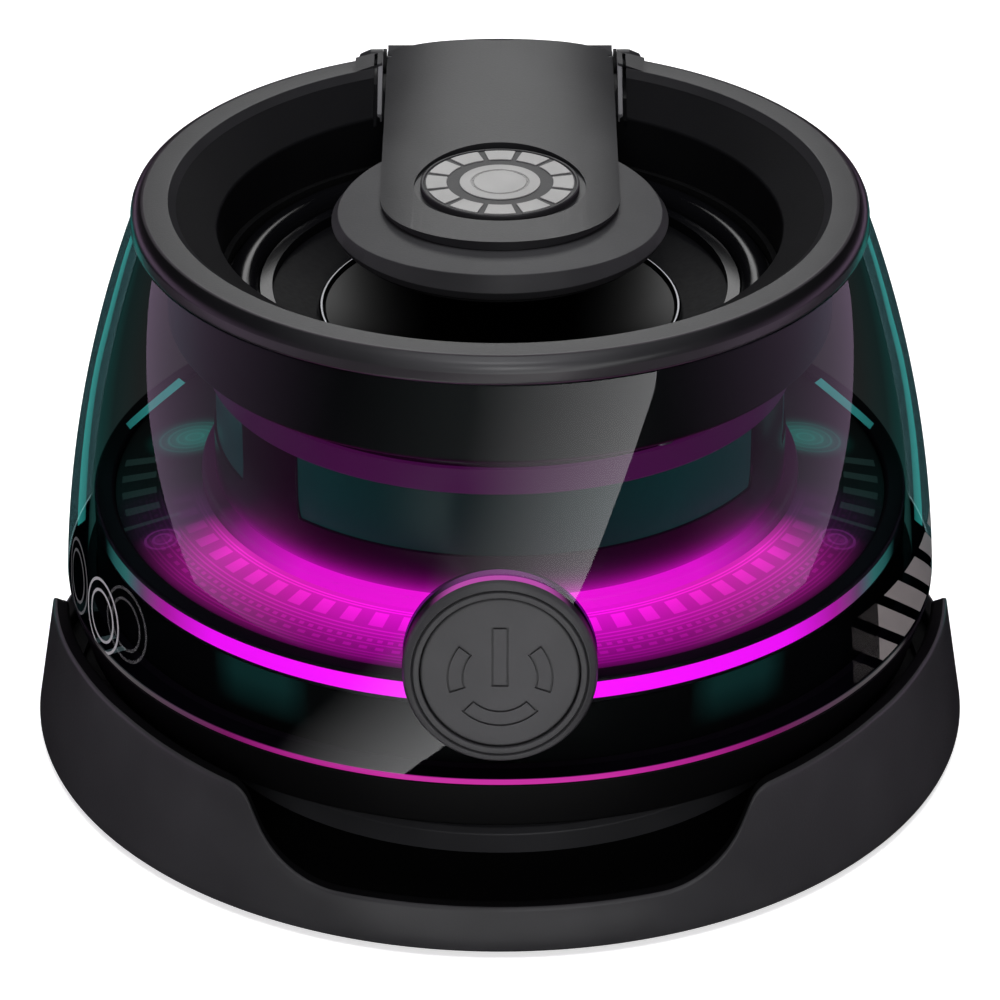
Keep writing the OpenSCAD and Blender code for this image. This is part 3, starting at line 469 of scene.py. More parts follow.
def clearPolycarbonate():
    # polished clear plastic: what is behind shows, the edges go dark and greenish as the path grows longer
    p, look = shellMarks, shellLook
    material, add, shader = newMaterial("clear_polycarbonate")
    _, turn, _, height = roundTheAxis(add)
    along = add("Math MULTIPLY", turn, p["mmPerDegree"])
    flat = add("CombineXYZ", along, height)
    # printed at the left: outlined circles
    marks = 0.0
    for at, z, level in p["rings"]:
        gap = add("VectorMath DISTANCE", flat, (at * p["mmPerDegree"], z, 0), out=1)
        for size in p["ringSizes"]:
            line = add("Math COMPARE", gap, size, p["ringLine"] / 2)
            line = add("Math MULTIPLY", line, level)
            marks = add("Math MAXIMUM", marks, line)
    # printed at the right: a band of slanted blocks that starts faintly
    lean = add("Math MULTIPLY_ADD", height, p["lean"], turn)
    lean = add("Math ADD", lean, -p["phase"])
    wave = add("Math PINGPONG", lean, p["step"] / 2)
    blocks = add("Math LESS_THAN", wave, p["blockWidth"] / 2)
    start, full, end = p["from"]
    for value, (low, high) in ((height, p["band"]), (turn, (start, end))):
        inside = add("Math COMPARE", value, (low + high) / 2, (high - low) / 2)
        blocks = add("Math MULTIPLY", blocks, inside)
    level = add("MapRange", turn, full - 0.2, full, p["faint"])
    level = add("Math MULTIPLY", blocks, level)
    marks = add("Math MAXIMUM", marks, level)
    printed = add("Math GREATER_THAN", marks, 0.01)
    ink = add("Mix", blocks, data_type="RGBA", sockets={6: p["pale"], 7: p["blockTone"]}, out=2)
    tone = add("Mix", printed, data_type="RGBA", sockets={6: look["mirror"], 7: ink}, out=2)
    metal = add("Math SUBTRACT", 1, printed)
    rough = add("MapRange", printed, 0, 1, *look["rough"])
    feed(shader, {"Base Color": tone, "Metallic": metal, "Roughness": rough})
    facing = add("LayerWeight", Blend=0.5, out="Facing")
    tones = [(0, "headOn"), (0.5, "slant"), (0.74, "edge")]
    tint = add("ValToRGB", facing, stops=[(at, look[tone]) for at, tone in tones])
    # reflection off the outer face only, weak head on and stronger towards the edges
    front = add("Math SUBTRACT", 1, add("NewGeometry", out="Backfacing"))
    grow = add("Math POWER", facing, look["growth"])
    share = add("MapRange", grow, 0, 1, *look["gloss"])
    share = add("Math MULTIPLY", share, front)
    share = add("Math MAXIMUM", share, marks)
    showThrough(shader, share, add("BsdfTransparent", Color=tint))
    return material


# the last list holds the tones of a painted glow on the film, teal-grey at its edge and dark at the back
shellFilm = {"turn": (86, 96), "fade": (94, 112), "edge": "#354848", "film": "#121314", "teal": "#2f9d96",
             "mmPerDegree": 0.74, "bar": (61.6, 43.85, 0.9, 0.62, 4.2), "glow": 0.25,
             "paintedEdgeGlow": [(90, "#4a7a74"), (97, "#35605c"), (104, "#2c3c3b"), (114, "#2b2b2b"), (140, "#262626"),
                          (165, "#000000")]}


def filmedPolycarbonate():
    # the inner face: clear in front, a dark film over the rear half that thins out greenish, a teal bar on either side;
    # a painted glow, seen from inside, lights the film teal-grey at its edge and the bars faintly
    p = shellFilm
    material, add, shader = newMaterial("filmed_polycarbonate_inside_painted_glow", Roughness=0.4)
    _, _, away, height = roundTheAxis(add)
    along = add("Math MULTIPLY", away, p["mmPerDegree"])
    film = add("MapRange", away, *p["turn"], interpolation_type="SMOOTHSTEP")
    fade = add("MapRange", away, *p["fade"])
    at, z, across, rise, half = p["bar"]
    dx = add("Math ADD", along, -at * p["mmPerDegree"])
    dz = add("Math ADD", height, -z)
    off = add("Math MULTIPLY_ADD", dx, across, dz)
    bar = add("Math COMPARE", off, 0, rise)
    bar = add("Math MULTIPLY", bar, add("Math COMPARE", dz, 0, half))
    tone = add("Mix", fade, data_type="RGBA", sockets={6: p["edge"], 7: p["film"]}, out=2)
    tone = add("Mix", bar, data_type="RGBA", sockets={6: tone, 7: p["teal"]}, out=2)
    share = add("MapRange", away, 0, 180)
    # painted glow: teal-grey at the film's edge, dying away towards the back
    glow = add("ValToRGB", share, stops=[(turn / 180, tone) for turn, tone in p["paintedEdgeGlow"]])
    glow = add("Mix", bar, data_type="RGBA", sockets={6: glow, 7: p["teal"]}, out=2)
    inwards = add("Math SUBTRACT", 1, add("NewGeometry", out="Backfacing"))
    light = add("Math MULTIPLY", bar, p["glow"])
    light = add("Mix", bar, sockets={2: inwards, 3: light})
    feed(shader, {"Base Color": tone, "Emission Color": glow, "Emission Strength": light})
    clear = add("BsdfTransparent", Color=shellLook["headOn"])
    showThrough(shader, add("Math MAXIMUM", film, bar), clear)
    return material


def makeShell():
    n = shellForm["stations"]
    heights = [shellFoot + (shellTop - shellFoot) * i / n for i in range(n + 1)]
    outer = [(shellRadius(z), z) for z in heights]
    inner = [(shellRadius(z) - shellForm["wall"], z) for z in reversed(heights)]
    shell = turned("shell_clear", outer + inner, 300)
    shaped(shell, rod("tool", buttonPlace["hole"], alongButton(-12), alongButton(12), 128))
    for tool in hingeTools():
        shaped(shell, tool)
    fitted(shell, "housing", clearPolycarbonate(), ["clear_shell"], 25)

    def isInner(face):
        outwards = face.normal.x * face.center.x + face.normal.y * face.center.y
        return outwards < -0.8 * math.hypot(face.center.x, face.center.y)

    painted(shell, filmedPolycarbonate(), isInner)


makeShell()
print("shell ready")

# base wall with three outlets

baseForm = {"foot": 48.3243, "lean": 0.16555, "wall": 1.6, "bottom": 0.4, "lip": 5, "wing": 14, "arch": 0.8,
            "outlet": 26, "hollow": 9, "shoulder": 2.5, "steep": 62, "ledge": (1.65, 2.8), "ledgeWidth": 2.4,
            "keep": 1.2, "rounds": (0.3, 0.4, 0.3), "skin": 0.62, "sector": 120, "archEnd": 0.92}


def baseRadius(z):
    return baseForm["foot"] - baseForm["lean"] * z


def wingEdge(x):
    # height of the wall's top edge at a distance x from an outlet's middle
    b = baseForm
    steep = math.radians(b["steep"])
    end = b["archEnd"] * baseRadius(b["wing"]) * math.sin(math.radians(b["sector"] / 2))
    slope = math.atan(b["arch"] / (end - b["outlet"]))
    low = b["wing"] - b["arch"] - b["shoulder"] * (math.cos(slope) - math.cos(steep))
    curveTop = b["lip"] + b["hollow"] * (1 - math.cos(steep))
    run = (low - curveTop) / math.tan(steep)
    start = b["outlet"] - b["hollow"] * math.sin(steep) - run - b["shoulder"] * (math.sin(steep) - math.sin(slope))
    x = abs(x)
    if x < start:
        return b["lip"]
    if x < start + b["hollow"] * math.sin(steep):
        return b["lip"] + b["hollow"] - math.sqrt(b["hollow"] ** 2 - (x - start) ** 2)
    x2 = start + b["hollow"] * math.sin(steep) + run
    if x < x2:
        return curveTop + (x - x2 + run) * math.tan(steep)
    if x < b["outlet"]:
        turn = math.asin(min(1, math.sin(slope) + (b["outlet"] - x) / b["shoulder"]))
        return b["wing"] - b["arch"] - b["shoulder"] * (math.cos(slope) - math.cos(turn))
    return min(b["wing"], b["wing"] - b["arch"] + (x - b["outlet"]) * math.tan(slope))


def makeBase():
    b = baseForm
    edge, rows, keep, fixed, half = b["wing"], 10, b["keep"], b["ledge"][1] + 0.3, b["sector"] / 2
    outer = [(baseRadius(z), z) for z in [b["bottom"] + (edge - b["bottom"]) * i / rows for i in range(rows + 1)]]
    inner = [(r - b["wall"], z) for r, z in reversed(outer) if z > b["ledge"][1] + 0.5]
    inset = baseRadius(b["ledge"][0]) - b["wall"]
    ledge = [(baseRadius(b["ledge"][1]) - b["wall"], b["ledge"][1]), (inset - b["ledgeWidth"], b["ledge"][1]),
             (inset - b["ledgeWidth"], b["ledge"][0]), (inset, b["ledge"][0]),
             (baseRadius(b["bottom"]) - b["wall"], b["bottom"])]
    outer[0] += b["rounds"][:1]
    outer[-1] += b["rounds"][1:2]
    inner[0] += b["rounds"][2:]
    base = turned("base_wall", outer + inner + ledge, 720)
    # the rows near the edge keep their rounding, those below them spread out
    for v in base.data.vertices:
        z = v.co.z / mm
        if z <= fixed:
            continue
        turn = (math.degrees(math.atan2(v.co.x, -v.co.y)) + half) % b["sector"] - half  # from an outlet's middle
        top = wingEdge(math.hypot(v.co.x, v.co.y) / mm * math.sin(math.radians(turn)))
        if z > edge - keep:
            newZ = top - (edge - z)
        else:
            newZ = fixed + (z - fixed) * (top - keep - fixed) / (edge - keep - fixed)
        grow = 1 + (z - newZ) * b["lean"] * mm / math.hypot(v.co.x, v.co.y)
        v.co = (v.co.x * grow, v.co.y * grow, newZ * mm)
    fitted(base, "housing", graphiteAbs, ["base_ring"], 40)

    def isDeep(face):
        deep = baseRadius(face.center.z / mm) - face.center.xy.length / mm
        return deep > b["skin"] and face.center.z > b["ledge"][0] * mm

    # the inside of the wall, beyond its skin, is painted near black as shade
    painted(base, pitchAbsAndPaintedShade, isDeep)


makeBase()

reflectorForm = {"radius": 32.8, "foot": 1.6, "rim": 3.6, "apex": 8, "edge": 0.8, "step": 0.4, "flare": 1.7,
                 "stations": 14}


def makeReflector():
    f = reflectorForm
    out, low = f["radius"] - f["edge"], f["rim"] + f["step"]
    shares = [i / f["stations"] for i in range(f["stations"] + 1)]
    crown = [(out * (1 - share), low + (f["apex"] - low) * share ** f["flare"]) for share in shares]
    outline = [(0, f["foot"]), (f["radius"], f["foot"]), (f["radius"] - 0.2, f["rim"], 0.3)] + crown
    fitted(turned("sound_reflector", outline), "housing", shadeAbs, ["reflector"])


makeReflector()
print("base ready")

# tub, light rings and deck

tubForm = {"hole": 22, "low": (42.80, 11.3), "top": (44.50, 17.0), "collar": 41.41, "collarTop": 23.8,
           "wall": 1.6, "floor": 12.9}
tubPaintedTealSheen = {"turn": 34, "patch": (4, 8), "height": (18.5, 22.5), "tone": "#0c2b2a"}


def tubPlasticPaintedSheen():
    # dull black plastic, with two faint teal patches of painted sheen glowing on its collar
    p = tubPaintedTealSheen
    material, add, shader = newMaterial("black_abs_tub_painted_teal_sheen", Roughness=0.5, Specular_IOR_Level=0.12,
                                        Base_Color="#080809", Emission_Color=p["tone"])
    radius, _, away, height = roundTheAxis(add)
    gap = add("Math SUBTRACT", away, p["turn"])
    gap = add("Math ABSOLUTE", gap)
    patch = add("MapRange", gap, *p["patch"], 1, 0)
    rise = add("MapRange", height, *p["height"])
    out = add("Math COMPARE", radius, tubForm["collar"], 0.3)
    level = add("Math MULTIPLY", patch, rise)
    feed(shader, {"Emission Strength": add("Math MULTIPLY", level, out)})
    return material


def makeTub():
    f = tubForm
    tub = turned("tub", [
        (f["hole"], f["low"][1]), (f["low"][0], f["low"][1], 0.6), (f["top"][0], f["top"][1], 0.15),
        (f["collar"], f["top"][1]), (f["collar"], f["collarTop"]), (f["collar"] - f["wall"], f["collarTop"]),
        (f["collar"] - f["wall"], f["floor"]), (f["hole"], f["floor"])], 300)
    buttonRoom(tub, buttonPlace["room"])
    # the tub's collar carries two painted teal sheen patches
    fitted(tub, "housing", tubPlasticPaintedSheen(), ["lower_tub"])


makeTub()

lightForms = {
    "thin": [(41.6, 17.02), (44.42, 17.02, 0.15), (44.42, 17.68, 0.15), (41.6, 17.68)],
    "thick": [(38.1, 23.8), (41.41, 23.8, 0.15), (41.41, 26.4, 0.4), (39.31, 26.4, 0.4), (39.31, 24.7), (38.1, 24.7)],
    "foot": [(29.05, 25.8), (30.4, 25.8), (30.4, 28.65, 0.5), (29.05, 28.65)]}


def lightGuide(name):
    return turned(name + "_light", lightForms[name], 300)


fitted(lightGuide("thin"), "housing", edgeAcrylic, ["edge_light"])
fitted(buttonRoom(lightGuide("thick"), buttonPlace["room"]), "housing", ringAcrylic, ["light_ring"])

deckForm = {"inner": (30.5, 27.45), "outer": (39.26, 25.95), "thick": 1.2}
deckPrint = {"levels": ((30.5, 0.9), (31.6, 0.84), (33.0, 0.7), (34.6, 0.54), (36.0, 0.38), (37.5, 0.26),
                        (38.8, 0.13), (39.3, 0.03)),
             "bands": ((32.8, 1.0, 5.2), (36.9, 0.2, 2.6), (35.8, 0.2, 1.7)), "lift": (1.1, 1.7), "line": 0.17,
             "rings": (31.1, 31.45, 34.3, 34.8, 35.3, 36.3, 37.5, 37.9, 38.3),
             "tones": ((0, "#ff14e4", 1), (18, "#ff14e4", 1), (40, "#f524c8", 1), (56, "#f524c8", 1),
                       (70, "#c040c0", 0.1), (84, "#3c5653", 0.05)),
             "side": "#3c5653", "teal": "#22978a", "violet": "#8a2f88",
             "fan": ((76, 97), (35.1, 38.6), 5.2), "fanLevel": 0.24, "rail": (73.4, 0.5), "railFrom": 33.5,
             "dial": (101, 32.2), "dialGlow": (0.3, 5.6, 0.42, 0), "dialRings": (0.9, 1.8, 2.7, 3.6),
             "dialLine": (0.12, 0.14), "eye": (67.5, 36.4), "eyeGlow": (0.2, 2.4, 0.25, 0), "eyeRings": (0.9, 1.7),
             "eyeLine": (0.14, 0.3)}


def printedDeck():
    # back-lit printed film: bright at the core, with a ring of blocks, thin rings and dashes; dim marks at the sides
    p = deckPrint
    material, add, shader = newMaterial("backlit_printed_film", Roughness=0.35, Emission_Strength=1,
                                        Base_Color="#0e080f")
    radius, turn, away, _ = roundTheAxis(add)
    r0, r1 = p["levels"][0][0], p["levels"][-1][0]
    share = add("MapRange", radius, r0, r1)
    fall = add("ValToRGB", share, stops=[((r - r0) / (r1 - r0), (v, v, v, 1)) for r, v in p["levels"]])
    marks = 0.0
    for at, half, step in p["bands"]:
        wave = add("Math PINGPONG", turn, step / 2)
        dash = add("Math LESS_THAN", wave, step / 4)
        band = add("Math COMPARE", radius, at, half)
        marks = add("Math MAXIMUM", marks, add("Math MULTIPLY", band, dash))
    for ring in p["rings"]:
        line = add("Math COMPARE", radius, ring, p["line"] / 2)
        marks = add("Math MAXIMUM", marks, line)
    lift = add("MapRange", marks, 0, 1, *p["lift"])
    level = add("Math MULTIPLY", fall, lift)
    share = add("Math DIVIDE", away, 180)
    glow = add("ValToRGB", share, stops=[(turn / 180, dimmed(tone, level)) for turn, tone, level in p["tones"]])
    light = add("VectorMath SCALE", glow, Scale=level)
    # at the sides: a fan of slats behind a rail, a small eye, and a teal dial by the core
    turns, reach, step = p["fan"]
    wave = add("Math PINGPONG", away, step / 2)
    slat = add("Math LESS_THAN", wave, step / 5)
    for value, (low, high) in ((away, turns), (radius, reach)):
        inside = add("Math COMPARE", value, (low + high) / 2, (high - low) / 2)
        slat = add("Math MULTIPLY", slat, inside)
    rail = add("Math COMPARE", away, *p["rail"])
    inside = add("Math GREATER_THAN", radius, p["railFrom"])
    rail = add("Math MULTIPLY", rail, inside)
    slat = add("Math MAXIMUM", slat, rail)
    slat = add("Math MULTIPLY", slat, p["fanLevel"])
    perDegree = math.radians(1) * p["eye"][1]
    along = add("Math MULTIPLY", away, perDegree)
    flat = add("CombineXYZ", along, radius)
    rounds = []
    for name, ease in (("dial", "SMOOTHSTEP"), ("eye", "LINEAR")):
        at, r = p[name]
        gap = add("VectorMath DISTANCE", flat, (at * perDegree, r, 0), out=1)
        spot = add("MapRange", gap, *p[name + "Glow"], interpolation_type=ease)
        half, level = p[name + "Line"]
        for size in p[name + "Rings"]:
            line = add("Math COMPARE", gap, size, half)
            spot = add("Math MULTIPLY_ADD", line, level, spot)
        rounds.append(spot)
    for tone, part in zip(("side", "teal", "violet"), [slat] + rounds):
        part = add("VectorMath SCALE", linearColour(p[tone])[:3], Scale=part)
        light = add("VectorMath ADD", light, part)
    feed(shader, {"Emission Color": light})
    return material


def makeDeck():
    (r0, z0), (r1, z1), t = deckForm["inner"], deckForm["outer"], deckForm["thick"]
    deck = turned("printed_deck", [(r0, z0 - t), (r1, z1 - t), (r1, z1), (r0, z0)], 300)
    fitted(buttonRoom(deck, buttonPlace["switchRoom"]), "housing", printedDeck(), ["deck"])


makeDeck()
fitted(lightGuide("foot"), "housing", coreAcrylic, ["core_light"])
print("tub, lights and deck ready")

# core with its windows and band

coreForm = {"radius": 29.0, "wall": 1.8, "low": 12.9, "top": 46.6, "windowLow": 33.05, "windowTop": 39.85,
            "windowTurn": 8, "windowSpan": 102, "windowDepth": 0.85, "corner": 2.6,
            "band": [(29.05, 40.2), (29.55, 40.2, 0.1), (29.55, 42.9, 0.1), (29.05, 42.9)]}


def windowBlock(name, deep, proud, grow):
    # a curved panel with rounded lower corners
    f = coreForm
    low, top = f["windowLow"] - grow, f["windowTop"] + grow
    span = f["windowSpan"] + 2 * math.degrees(grow / f["radius"])
    r0, r1 = f["radius"] - deep, f["radius"] + proud
    panel = turned(name, boxOutline(r0, r1, low, top), 102, span, f["windowTurn"])
    nothingPicked(panel, "EDGE")
    reach = math.radians(span / 2 - 0.2)
    middle = math.radians(f["windowTurn"])
    for e in panel.data.edges:
        a, b = (panel.data.vertices[i].co for i in e.vertices)
        swing = [abs(math.atan2(p.x, -p.y) - middle) for p in (a, b)]
        if max(a.z, b.z) < (low + 0.1) * mm and min(swing) > reach and abs(a.xy.length - b.xy.length) > 0.3 * mm:
            e.select = True
    setMode("EDIT")
    bpy.ops.mesh.bevel(offset=(f["corner"] + grow) * mm, segments=8, affect="EDGES")
    bpy.ops.mesh.select_mode(type="VERT")
    setMode("OBJECT")
    return panel


coreWallPaintedGlow = {"height": (28.4, 33), "fall": 4.5, "rest": 0.012, "turn": (42, 72), "level": (0.6, 0.02)}


def glossCoreWithPaintedGlow():
    # glossy black plastic, with a painted glow of the foot light dying away up the wall and towards the sides
    p = coreWallPaintedGlow
    material, add, shader = newMaterial("black_abs_core_painted_glow", Roughness=0.25, Base_Color="#0d0d0e",
                                        Emission_Color=lightTones["deck"])
    _, _, away, height = roundTheAxis(add)
    rise = add("MapRange", height, *p["height"], 1, 0)
    rise = add("Math POWER", rise, p["fall"])
    rise = add("Math ADD", rise, p["rest"])
    front = add("MapRange", away, *p["turn"], *p["level"], interpolation_type="SMOOTHSTEP")
    feed(shader, {"Emission Strength": add("Math MULTIPLY", rise, front)})
    return material


windowPaintedGlow = {"speckMm": 0.35, "speck": (0.45, 0.95), "turn": (6, 36), "level": (0.25, 1.1)}


def tealWindowPaintedGlow():
    # smoked teal acrylic with a faint painted glow, finely speckled, dimmest in the middle of the front and brighter
    # towards the sides
    p = windowPaintedGlow
    material, add, shader = newMaterial("smoked_teal_acrylic_painted_glow", Roughness=0.3, Base_Color="#081c1d",
                                        Emission_Color="#0c2e30")
    speck = add("TexNoise", millimetres(add), Scale=1 / p["speckMm"], Detail=2, out="Fac")
    level = add("MapRange", speck, 0, 1, *p["speck"])
    away = roundTheAxis(add)[2]
    share = add("MapRange", away, *p["turn"], *p["level"])
    feed(shader, {"Emission Strength": add("Math MULTIPLY", level, share)})
    return material


def threefold(piece):
    return joined(piece, [copied(piece, "copy", turn) for turn in (120, -120)])


def makeCore():
    f = coreForm
    r0, r1 = f["radius"] - f["wall"], f["radius"]
    core = turned("core_body", [(r0, f["low"]), (r1, f["low"]), (r1, f["top"], 0.4), (r0, f["top"])], 360)
    # the core wall carries a painted glow of the foot light
    fitted(softEdges(shaped(core, threefold(windowBlock("tool", f["windowDepth"], 2, 0.1))), 0.12, 50, 2),
           "housing", glossCoreWithPaintedGlow(), ["core"])
    panes = threefold(windowBlock("window_panes", f["windowDepth"] - 0.1, -0.25, 0))
    # the panes carry a faint painted glow
    fitted(panes, "housing", tealWindowPaintedGlow(), ["core_windows"])
    band = turned("violet_band", f["band"], 300)
    fitted(band, "housing", violetBandPaintedGlow, ["core_band"])


makeCore()

cupForm = {"inner": 29.25, "outer": 33.2, "flange": 34.2, "low": 45.4, "top": 55.5, "wall": 1.2}


def makeCup():
    f = cupForm
    cup = turned("cup", [
        (f["inner"], f["low"]), (f["outer"], f["low"], 0.6), (f["outer"], f["top"] - f["wall"]),
        (f["flange"], f["top"] - f["wall"]), (f["flange"], f["top"]), (f["outer"] - f["wall"], f["top"]),
        (f["outer"] - f["wall"], f["low"] + f["wall"]), (f["inner"], f["low"] + f["wall"])], 300)
    for tool in hingeTools():
        shaped(cup, tool)
    fitted(cup, "housing", cupAbs, ["driver_cup"])


makeCup()
print("core ready")

# rim with the arm's slot and two ears

# turn from the front in degrees, and tone of a painted sheen, pale in front
paintedSheenTones = [(0, "#4a4a4c"), (8, "#424244"), (20, "#2b2b2d"), (38, "#151517"), (60, "#0c0c0d")]


def paintedSheenEdgeAbs():
    # dark satin plastic on the rounded edge, with a painted sheen: paler in front, darker towards the sides
    material, add, shader = newMaterial("graphite_abs_edge_painted_sheen", Roughness=0.28)
    share = add("MapRange", roundTheAxis(add)[2], 0, 90)
    tone = add("ValToRGB", share, stops=[(turn / 90, tone) for turn, tone in paintedSheenTones])
    feed(shader, {"Base Color": tone})
    return material


rimForm = {"outer": 36.6, "side": 36.45, "flat": 32.8, "bevel": (32.0, 57.4), "throat": (28.0, 54.8), "low": 49.45,
           "top": 58.1, "seat": 55.55, "round": 1.4, "neck": ((29.1, 53.9), (31.0, 55.55)), "funnel": (32.35, 57.75),
           "ear": 2.5, "earRadius": 1.45, "earTop": 58.5, "earEnd": 15.2, "slotFloor": 56.9, "over": 60.3,
           "rib": (12.3, 12.8), "ribLine": ((34.0, 58.35), (30.5, 58.25), (29.3, 57.6), (25.05, 55.1)),
           "groove": (12.87, 13.21), "grooveLine": ((33.27, 57.35), (30.4, 57.35), (29.3, 56.6), (24.7, 53.8))}


def makeRim():
    f, h = rimForm, hingePlace
    rim = turned("rim_ring", [
        (f["throat"][0], f["low"]), (f["neck"][0][0], f["low"]), *f["neck"], (f["outer"], f["seat"], 0.4),
        (f["side"], f["top"], f["round"]), (f["flat"], f["top"], 0.2), (*f["bevel"], 0.3),
        (*f["throat"], 0.4)], 360, steps=6)
    for tool in hingeTools():
        shaped(rim, tool)
    shaped(rim, block("tool", (-h["slot"], 12, f["slotFloor"]), (h["slot"], 45, 70)))
    softEdges(rim, 0.1, 55, 2)
    for side in (-1, 1):
        x0 = side * h["slot"]
        # the rim's top rises to the slot in a short shoulder
        tall = turned("tool", [(f["flat"] + 0.1, f["seat"] + 0.6), (f["side"], f["seat"] + 0.6),
                               (f["side"], f["earTop"], 1.0), (f["flat"] + 0.1, f["earTop"], 0.3)], 360)
        near, far = sorted((x0, side * f["earEnd"]))
        wedge = block("tool", (near, 12, f["seat"]), (far, 45, f["earTop"] + 1))
        for v in wedge.data.vertices:
            if v.co.z > f["top"] * mm:
                v.co.z = (f["earTop"] if abs(v.co.x) < (h["slot"] + 1) * mm else f["top"] - 0.02) * mm
        shaped(rim, shaped(tall, wedge, "INTERSECT"), "UNION")
        # a groove beside the slot, then a rounded ear for the pin
        above = [(f["grooveLine"][-1][0], f["over"]), (f["grooveLine"][0][0] + 0.02, f["over"])]
        shaped(rim, slab("tool", list(f["grooveLine"]) + above, side * f["groove"][0], side * f["groove"][1]))
        ear = turned("tool", [(0, 0), (f["earRadius"], 0), (f["earRadius"], 1.3, 0.8), (0.95, f["ear"], 0.4),
                              (0, f["ear"])], 64)
        shaped(rim, placed(ear, (x0, h["y"], h["z"]), (0, side * 90, 0)), "UNION")
    fitted(rim, "housing", softTouchAbs, ["rim"], 35)
    outside = f["side"] - f["round"] - 0.02

    def isSide(face):
        x, y = face.center.xy / mm
        return math.hypot(x, y) > outside and not (abs(x) < f["earEnd"] and y > 20)

    def isFunnel(face):
        return face.center.xy.length < f["funnel"][0] * mm and face.center.z < f["funnel"][1] * mm

    # the funnel is darker: partly its own black, partly painted shade in the recess
    painted(rim, funnelAbsAndPaintedShade, isFunnel)
    painted(rim, satinAbs, isSide)
    # the rounded side edge gets a painted sheen, pale in front
    painted(rim, paintedSheenEdgeAbs(), lambda face: isSide(face) and 0.1 < face.normal.z < 0.94)
    # thin ribs line the slot, pale as a painted highlight of its edges
    line = list(f["ribLine"]) + [(y, z - 0.9) for y, z in reversed(f["ribLine"])]
    ribs = slab("slot_ribs", line, *f["rib"])
    ribs = joined(ribs, [slab("rib", line, -f["rib"][0], -f["rib"][1])])
    fitted(softEdges(ribs, 0.08, 55, 2), "housing", paleRibPaintedHighlight)


makeRim()
print("rim ready")

# driver: roll, cone, ring and cap

driverForm = {"rollAt": 25.6, "rollZ": 47.95, "roll": 1.55, "skin": 0.5, "flange": 28.9, "flangeRise": (0.35, -0.15),
              "coneOut": 23.95, "coneTop": 47.7, "slope": 22.2, "coneIn": 9.6, "paper": 0.5, "lip": 1.2,
              "lipHigh": 0.6, "glue": 0.01, "trim": 17.9, "trimHalf": 0.35, "trimHigh": 0.55, "trimLift": 0.05,
              "cap": 17.45, "capLift": 0.12, "sag": 2.0, "foil": 0.4, "stations": 14}


def coneHeight(r):
    return driverForm["coneTop"] - (driverForm["coneOut"] - r) * math.tan(math.radians(driverForm["slope"]))


def makeDriver():
    f = driverForm
    upper = halfRound(f["rollAt"], f["rollZ"], f["roll"], 1)
    lower = halfRound(f["rollAt"], f["rollZ"], f["roll"] - f["skin"], 1)[::-1]
    outline = upper + [(f["flange"], f["rollZ"] + rise) for rise in f["flangeRise"]] + lower
    fitted(turned("surround_roll", outline), "housing", rollRubber, ["surround"])
    # its inner lip is glued to the cone and moves with it, just clear of the roll
    inner, out, top = f["coneOut"] - f["lip"], f["coneOut"], f["coneTop"]
    glue, high = f["glue"], top + f["lipHigh"]
    lip = turned("surround_lip", [(inner, coneHeight(inner) + glue), (out, top + glue), (out, high), (inner, high)])
    fitted(lip, "driver_cone", rollRubber)
    face = [(f["coneIn"], coneHeight(f["coneIn"])), (out, top)]
    cone = turned("driver_paper_cone", [(r, z - f["paper"]) for r, z in face] + face[::-1])
    fitted(cone, "driver_cone", coneFibre, ["cone"])
    edge, n = coneHeight(f["cap"]) + f["capLift"] + f["foil"], f["stations"]
    dish = [(f["cap"] * i / n, edge - f["sag"] * (1 - (i / n) ** 2)) for i in range(n + 1)]
    cap = turned("dust_dish", dish + [(r, z - f["foil"]) for r, z in reversed(dish)])
    fitted(cap, "driver_cone", capGloss, ["dust_cap"])
    inner, out = f["trim"] - f["trimHalf"], f["trim"] + f["trimHalf"]
    low = coneHeight(out) + f["trimLift"]
    high = low + f["trimHigh"]
    trim = turned("bright_ring", [(inner, low), (out, low), (out, high, 0.3), (inner, high, 0.3)])
    fitted(trim, "driver_cone", brightChrome, ["trim_ring"])


makeDriver()
print("driver ready")

# bass radiator: the roll hangs under the body, and its inner lip moves with the plate

radiatorForm = {"plate": 16.0, "lip": 1.6, "roll": 2.2, "skin": 0.6, "rollAt": 18.9, "flange": 25.6, "floor": 12.9,
                "clear": 0.15}


def makeRadiatorRoll():
    f = radiatorForm
    low, high, inside = f["floor"], f["floor"] + f["skin"], f["roll"] - f["skin"]
    under = halfRound(f["rollAt"], low, f["roll"], -1)
    over = halfRound(f["rollAt"], low, inside, -1)[::-1]
    outline = [(f["rollAt"] - f["roll"], high)] + under + [(f["flange"], low), (f["flange"], high)]
    outline += [(f["rollAt"] + inside, high)] + over + [(f["rollAt"] - inside, high)]
    fitted(turned("radiator_roll", outline, 160), "housing", blackRubber, ["radiator_surround"])
    inner, out = f["plate"] - f["lip"], f["rollAt"] - f["roll"] - f["clear"]
    lip = turned("radiator_lip", [(inner, low), (out, low, 0.15), (out, high, 0.15), (inner, high)], 160)
    fitted(lip, "bass_radiator", blackRubber)


makeRadiatorRoll()
print("radiator ready")

# phone arm: tongue, barrel, holder and badge

armForm = {"half": 11.9, "tip": -11.5, "endY": 0.4, "under": 57.2, "front": 58.1, "back": 59.55, "sag": (0.85, 1.9),
           "barrel": (2.55, 1.65), "badgeY": 1.5, "badgeFloor": 57.76, "recess": 17.1, "badge": 15.8,
           "rows": (-17, 10.6, 16, 22, 28, 43), "band": (0.9, 2.42, 8.95, 11.85), "crownWidth": 26, "bandSweep": 90,
           "bandTowards": 163, "pinHole": 0.8, "stations": 24}


def crownHeight(x, y):
    # the arm's top: rising towards the hinge, and rounder there
    f = armForm
    share = (y - f["tip"]) / (hingePlace["y"] - f["tip"])
    sag = f["sag"][0] + (f["sag"][1] - f["sag"][0]) * share
    return f["front"] + (f["back"] - f["front"]) * share - sag * (x / f["half"]) ** 2


